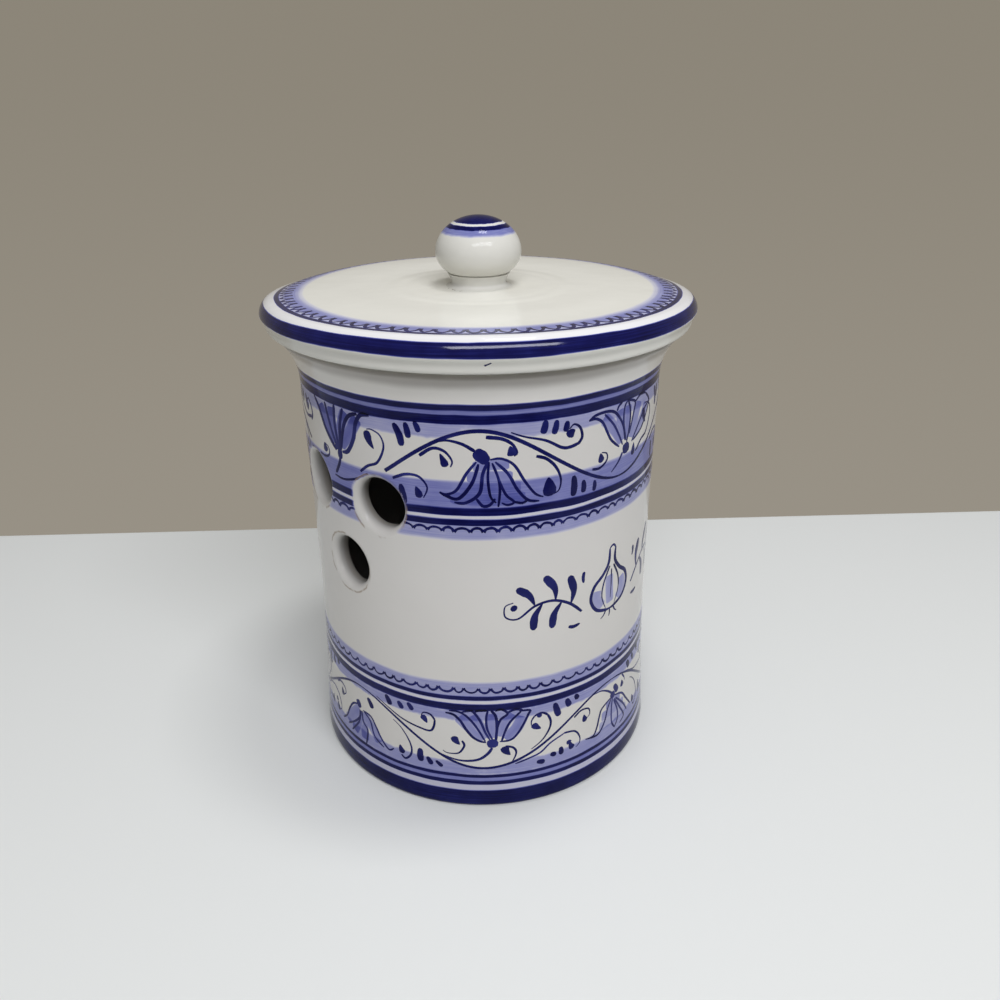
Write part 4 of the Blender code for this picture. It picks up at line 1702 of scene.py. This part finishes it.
LOWER_DABS = [
    ("dab", 3.0, lower_left((1060, 980)) + [(-24.4, -7.6)] + lower_left((1070, 1110))),
    ("dab", 2.4, lower_left((1130, 1065)) + [(-21, -9.4)] + lower_left((1180, 1145))),
    ("dab", 1.9, lower_left((1220, 1105)) + [(-17.6, -10)] + lower_left((1290, 1165))),
    ("dab", 2.75, [(-37.3, 13), (-36.2, 11.2), (-35.4, 9.4)]),
    ("dab", 2.5, lower_left((810, 490)) + [(-31.4, 11), (-30.6, 9.6)]),
    ("dab", 2.4, [(-28.6, 12.8), (-27.6, 11.6), (-26.8, 10.2)]),
    ("dab", 2.75, [(-45.9, 7.6), (-44.6, 5.8), (-43.7, 4)]),
    ("dab", 3.0, lower_front((1400, 270)) + [(22.2, 9.6)] + lower_front((1445, 410))),
    ("dab", 2.75, [(26, 12.6), (26.6, 10.8)] + lower_front((1568, 300))),
    ("dab", 2.4, [(29.4, 13), (30, 12), (30.6, 10.8)]),
    ("dab", 2.5, lower_front((1185, 920)) + [(16.4, -10.6), (17.8, -10.9)]),
    ("dab", 2.4, [(19.9, -8.4), (21, -8.9), (22, -9.3)]),
    ("dab", 2.4, [(23.7, -6.8), (23.9, -8.4)] + lower_front((1455, 835))),
    ("dab", 2.75, [(27.2, -5.2), (27, -6), (27.4, -6.6)]),
]
LOWER_HANGING_FLOWER = [
    ("lead", 1.1, lower_right_flower((530, 545), (600, 510), (660, 510)) + [(0, 4.4)]),
    ("blob", 3.5, [(-0.4, 4.8), (0.3, 3.6), (0.9, 2.2)]),
    (
        "line",
        1.1,
        lower_right_flower((690, 570), (600, 680), (570, 760), (540, 870), (500, 950))
        + [(-13.5, -8.2)],
    ),
    ("line", 1.15, [(-0.4, 2.7), (-2.6, -0.8), (-4.2, -5.4), (-7.4, -9), (-11.8, -8.7)]),
    ("line", 1.1, [(0.2, 2.4), (-0.4, -2.4), (-0.2, -8.1), (1.7, -11.6)]),
    ("line", 1.1, [(0.9, 1.2), (3.2, -4.4), (3.4, -8.8), (1.4, -11.4)]),
    ("line", 1.1, lower_right_flower((720, 580), (760, 660)) + [(7.8, -10), (4.9, -11.8)]),
    ("line", 1.1, lower_right_flower((730, 570), (790, 620)) + [(10.1, -9)]),
    ("line", 1.1, [(1.4, 2.8), (6.2, 0.8), (9.6, -3.6), (13.4, -8.6)]),
    ("drop", 2.75, lower_right_flower((795, 400)) + [(6.4, 5)] + lower_right_flower((795, 460))),
    ("tail", 1.0, lower_right_flower((800, 340), (820, 370), (820, 400))),
]
LOWER_WASHES = [
    (0.24, 4.6, [(-2.6, 1.6), (-6.6, 6), (-10.8, 10.6)]),
    (0.24, 4.1, [(-1.4, 2.4), (-4, 7.4), (-6.4, 11.4)]),
    (0.24, 3.8, [(0, 2.2), (0, 7), (0.2, 12)]),
    (0.24, 4.1, [(2.6, 2.6), (4.2, 7.6), (7, 11.4)]),
    (0.24, 4.6, [(4.2, 1.6), (8, 5.2), (10.2, 10)]),
]
LOWER_HANGING_WASHES = [
    (0.22, 4.1, [(-3.4, 0.8), (0.4, 0.6), (5, 0.6)]),
    (0.20, 4.3, [(-5.8, -2.8), (0.4, -3), (7.4, -3.2)]),
    (0.14, 4.3, [(-7, -6.6), (0.8, -6.8), (9.4, -6.8)]),
]
LOWER_LEFT_FLOWER = [
    ("blob", 3.2, lower_left((400, 470)) + [(-51, 2.4)] + lower_left((430, 560))),
    ("line", 1.1, lower_left((410, 520), (360, 510), (330, 560), (310, 630), (280, 650))),
    ("line", 1.1, lower_left((430, 580), (430, 660), (380, 700), (330, 710))),
    ("line", 1.1, lower_left((440, 590), (430, 700), (370, 780))),
    ("line", 1.1, lower_left((450, 590), (470, 700), (520, 800), (515, 930))),
    (
        "line",
        1.1,
        lower_left((460, 590), (540, 650), (600, 760), (660, 880), (740, 990), (790, 980)),
    ),
    ("line", 1.1, lower_left((470, 600), (540, 700), (590, 850), (690, 970))),
]
LOWER_LEFT_WASHES = [
    (0.24, 4.6, [(-50.6, 0.4), (-54.6, -4), (-58.4, -9)]),
    (0.24, 4.4, [(-50, -0.6), (-51.6, -6), (-54, -11)]),
    (0.24, 4.4, [(-49.4, -0.6), (-48.2, -6), (-48, -11.6)]),
    (0.24, 4.6, [(-48.6, -0.2), (-44.6, -4), (-40.6, -9)]),
]
lower_drawings = placements(
    (LOWER_STANDING_FLOWER + LOWER_BUDS + LOWER_DABS, LOWER_WASHES),
    LOWER_HANGING_AT,
    (LOWER_HANGING_FLOWER, LOWER_HANGING_WASHES),
    (LOWER_LEFT_FLOWER, LOWER_LEFT_WASHES),
)
lower_wall = on_wall(LOWER_PHASE, LOWER_MIDDLE, LOWER_SQUASH)
paint_band("lower_vine", lower_wall, lower_stem, 1.25, lower_drawings, seed=23)

# %% [markdown]
# ## Scalloped lines
#
# A line of small scallops edges each pale ring: one round the lid, and one beyond each navy pair
# on the jar. Each scallop is one flick of the brush, which rests for a moment where two meet.

# %% Scallops


def scallops(paint, radius, count, meet, bulge, width, draws):
    """A closed line of scallops: meet is where two of them touch, and bulge is their middle."""
    pitch = 2 * pi * radius / count
    starts = [pitch * (k + draws.uniform(-0.13, 0.13)) for k in range(count)]
    starts.append(starts[0] + 2 * pi * radius)
    heights = [draws.uniform(-0.15, 0.15) for _ in range(count)]
    heights.append(heights[0])
    for k in range(count):
        start, end = starts[k], starts[k + 1]
        low = meet + heights[k]
        last = meet + heights[k + 1]
        high = bulge + draws.uniform(-0.12, 0.12)
        side = low + (high - low) * 0.72
        other = last + (high - last) * 0.72
        drawn = [
            (start, low),
            (start + (end - start) * 0.2, side),
            (start + (end - start) * draws.uniform(0.42, 0.58), high),
            (start + (end - start) * 0.8, other),
            (end, last),
        ]
        pressed = width * draws.uniform(0.85, 1.15)
        paint.stroke("arch", pressed, drawn, load=draws.uniform(0.7, 1.0), step=0.5)


draws = Random(5)
upper_line = Paint(on_wall(UPPER_PHASE, 0.0))
scallops(upper_line, BODY_RADIUS, 90, 104.7, 106.1, 1.25, draws)
upper_line.finish("upper_scallops", JAR_GLAZE, "jar")
lower_line = Paint(on_wall(LOWER_PHASE, 0.0))
scallops(lower_line, BODY_RADIUS, 90, 48.05, 46.4, 1.15, draws)
lower_line.finish("lower_scallops", JAR_GLAZE, "jar")
lid_line = Paint(on_lid)
scallops(lid_line, 60, 92, 59.7, 63.3, 1.6, draws)
lid_line.finish("lid_scallops", LID_GLAZE, "lid")

# %% [markdown]
# ## Small flaws
#
# A loaded brush touched the side of the lid once and left a dark tick there. Where the knob's collar
# was set on, the glaze has pinholes that went brown in the kiln.

# %% Small flaws


def on_lid_side(across, height, lift):
    """How a mark lies on the side of the lid: across from the viewer's side, and at a height."""
    side = [(point[1], point[0]) for point in reversed(lid_edge)]
    radius = side[-1][1]
    for (low, first), (high, second) in zip(side, side[1:]):
        if low < height <= high:
            radius = first + (second - first) * (height - low) / (high - low)
    turn = CAMERA_TURN + across / radius
    marks = dict(NO_MARKS, along=80.0, outside=1.0)
    return on_ring(radius + lift, height, turn), marks


slip = Paint(on_lid_side)
slip.stroke("dab", 0.55, [(1.1, 157.75), (1.9, 158.25), (2.9, 158.75)], load=1.2, step=0.2)
slip.stroke("dab", 0.40, [(0.9, 158.05), (1.5, 158.2), (2.1, 158.3)], load=1.0, step=0.2)
slip.finish("slip_of_the_brush", LID_GLAZE, "lid")

pinhole_recipe = new_finish("pinhole brown")
pinhole_recipe.feed(pinhole_recipe.shader.inputs["Base Color"], PINHOLE_BROWN)
pinhole_recipe.feed(pinhole_recipe.shader.inputs["Roughness"], 0.5)
pinholes = Paint(on_lid)
draws = Random(23)
for _ in range(9):
    across = (CAMERA_TURN + radians(draws.uniform(-62, -28))) * 60
    away = draws.uniform(10.9, 11.8)
    size = draws.uniform(0.25, 0.5)
    spread = size * 0.5 * 60 / away
    drawn = [(across - spread, away), (across + spread, away)]
    pinholes.stroke("blob", size, drawn, load=0.0, step=0.2)
pinholes.finish("pinholes", pinhole_recipe.owner, "lid")

# %% [markdown]
# ## The garlic on the front
#
# Between the two bands the front of the jar tells what is kept in it. Here it does so with a
# drawing that anyone can read: a head of garlic with its cloves showing, and a leafy sprig to each
# side of it, in the same cobalt and with the same two brushes as the rest.

# %% Garlic drawing
MOTIF_MIDDLE = 77.0
GARLIC_HEAD = [
    (
        "line",
        1.7,
        [(-1.4, 13), (-1.6, 8), (-4, 4.4), (-8, 1), (-9.2, -3.6), (-6.6, -8), (-2, -9.8), (0, -9.9)],
    ),
    (
        "line",
        1.7,
        [(1.6, 12.6), (1.6, 8), (4.2, 4.2), (8.2, 0.8), (9.3, -3.8), (6.8, -8), (2, -9.8), (0, -9.9)],
    ),
    ("tail", 1.0, [(-1, 6.4), (-3.6, 1), (-4.2, -4), (-2.2, -9)]),
    ("tail", 1.0, [(1, 6.4), (3.8, 1), (4.3, -4), (2.4, -9)]),
    ("tail", 0.8, [(0, 5), (0.2, -1), (0.1, -6)]),
    ("line", 1.0, [(-1.4, 13), (0.2, 13.8), (1.6, 12.6)]),
    ("tail", 0.9, [(-2, -10.2), (-3, -11.6), (-4.4, -12.4)]),
    ("tail", 0.9, [(0, -10.2), (0.1, -11.8), (-0.3, -13)]),
    ("tail", 0.9, [(2, -10.2), (3, -11.8), (4, -12.6)]),
]
GARLIC_WASHES = [
    (0.16, 4.2, [(-6.4, -1), (-6.6, -4), (-4, -7.6)]),
    (0.16, 4.2, [(-1, 3), (-0.6, -2), (0, -7.6)]),
    (0.16, 4.0, [(5.6, 0), (6.6, -4), (4, -7.6)]),
]
SPRIG = [
    (
        "tail",
        1.3,
        [(13, -6), (18, -1.4), (24, 1.2), (30, 0.4), (35.5, -3.4), (39.4, -2.4), (39.6, 1.4), (37, 2.6)],
    ),
    ("drop", 3.6, [(17.4, -1.8), (16.4, 3), (18.2, 8.6)]),
    ("drop", 3.6, [(23, 1), (23.4, 5.6), (27, 10.4)]),
    ("drop", 3.4, [(30, 0.6), (32, 4.6), (36, 7.4)]),
    ("drop", 3.4, [(20.6, 0.2), (23.4, -4), (24, -9)]),
    ("drop", 3.4, [(27.4, 1), (30, -3.4), (30.4, -8.4)]),
    ("blob", 2.6, [(36.2, 1.6), (36.8, 0.6), (37.6, -0.2)]),
    ("dab", 1.7, [(12.6, 4.4), (12.9, 6.4), (12.6, 8.4)]),
    ("dab", 1.7, [(13.6, -10.4), (16, -10.8), (18, -10.2)]),
]
motif = Paint(on_wall(0.0, MOTIF_MIDDLE))
motif_washes = Paint(on_wall(0.0, MOTIF_MIDDLE))
draws = Random(31)
mirrored_sprig = [(form, width, [(-x, y) for x, y in drawn]) for form, width, drawn in SPRIG]
for form, width, drawn in GARLIC_HEAD + mirrored_sprig + moved(SPRIG, 0, 0, draws, 0.4):
    motif.stroke(form, width, drawn, load=draws.uniform(0.85, 1.05))
for load, width, drawn in GARLIC_WASHES:
    motif_washes.stroke("wash", width, drawn, load=load)
motif.finish("garlic_drawing", JAR_GLAZE, "jar")
motif_washes.finish("garlic_drawing_washes", JAR_GLAZE, "jar")

# %% [markdown]
# ## Hand over
#
# Each painted piece stands for one measured solid and moves with its body.

# %% Hand over
for piece, body, node_name, slot_name in (
    (painted_jar, "jar", "jar_body", "jar_glaze"),
    (painted_lid, "lid", "lid_plate", "lid_glaze"),
    (glazed_ring, "lid", "lid_locating_ring", "lid_glaze"),
    (glazed_collar, "lid", "knob_collar", "knob_glaze"),
    (painted_ball, "lid", "knob_ball", "knob_glaze"),
):
    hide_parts(node_name)
    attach(piece, body)
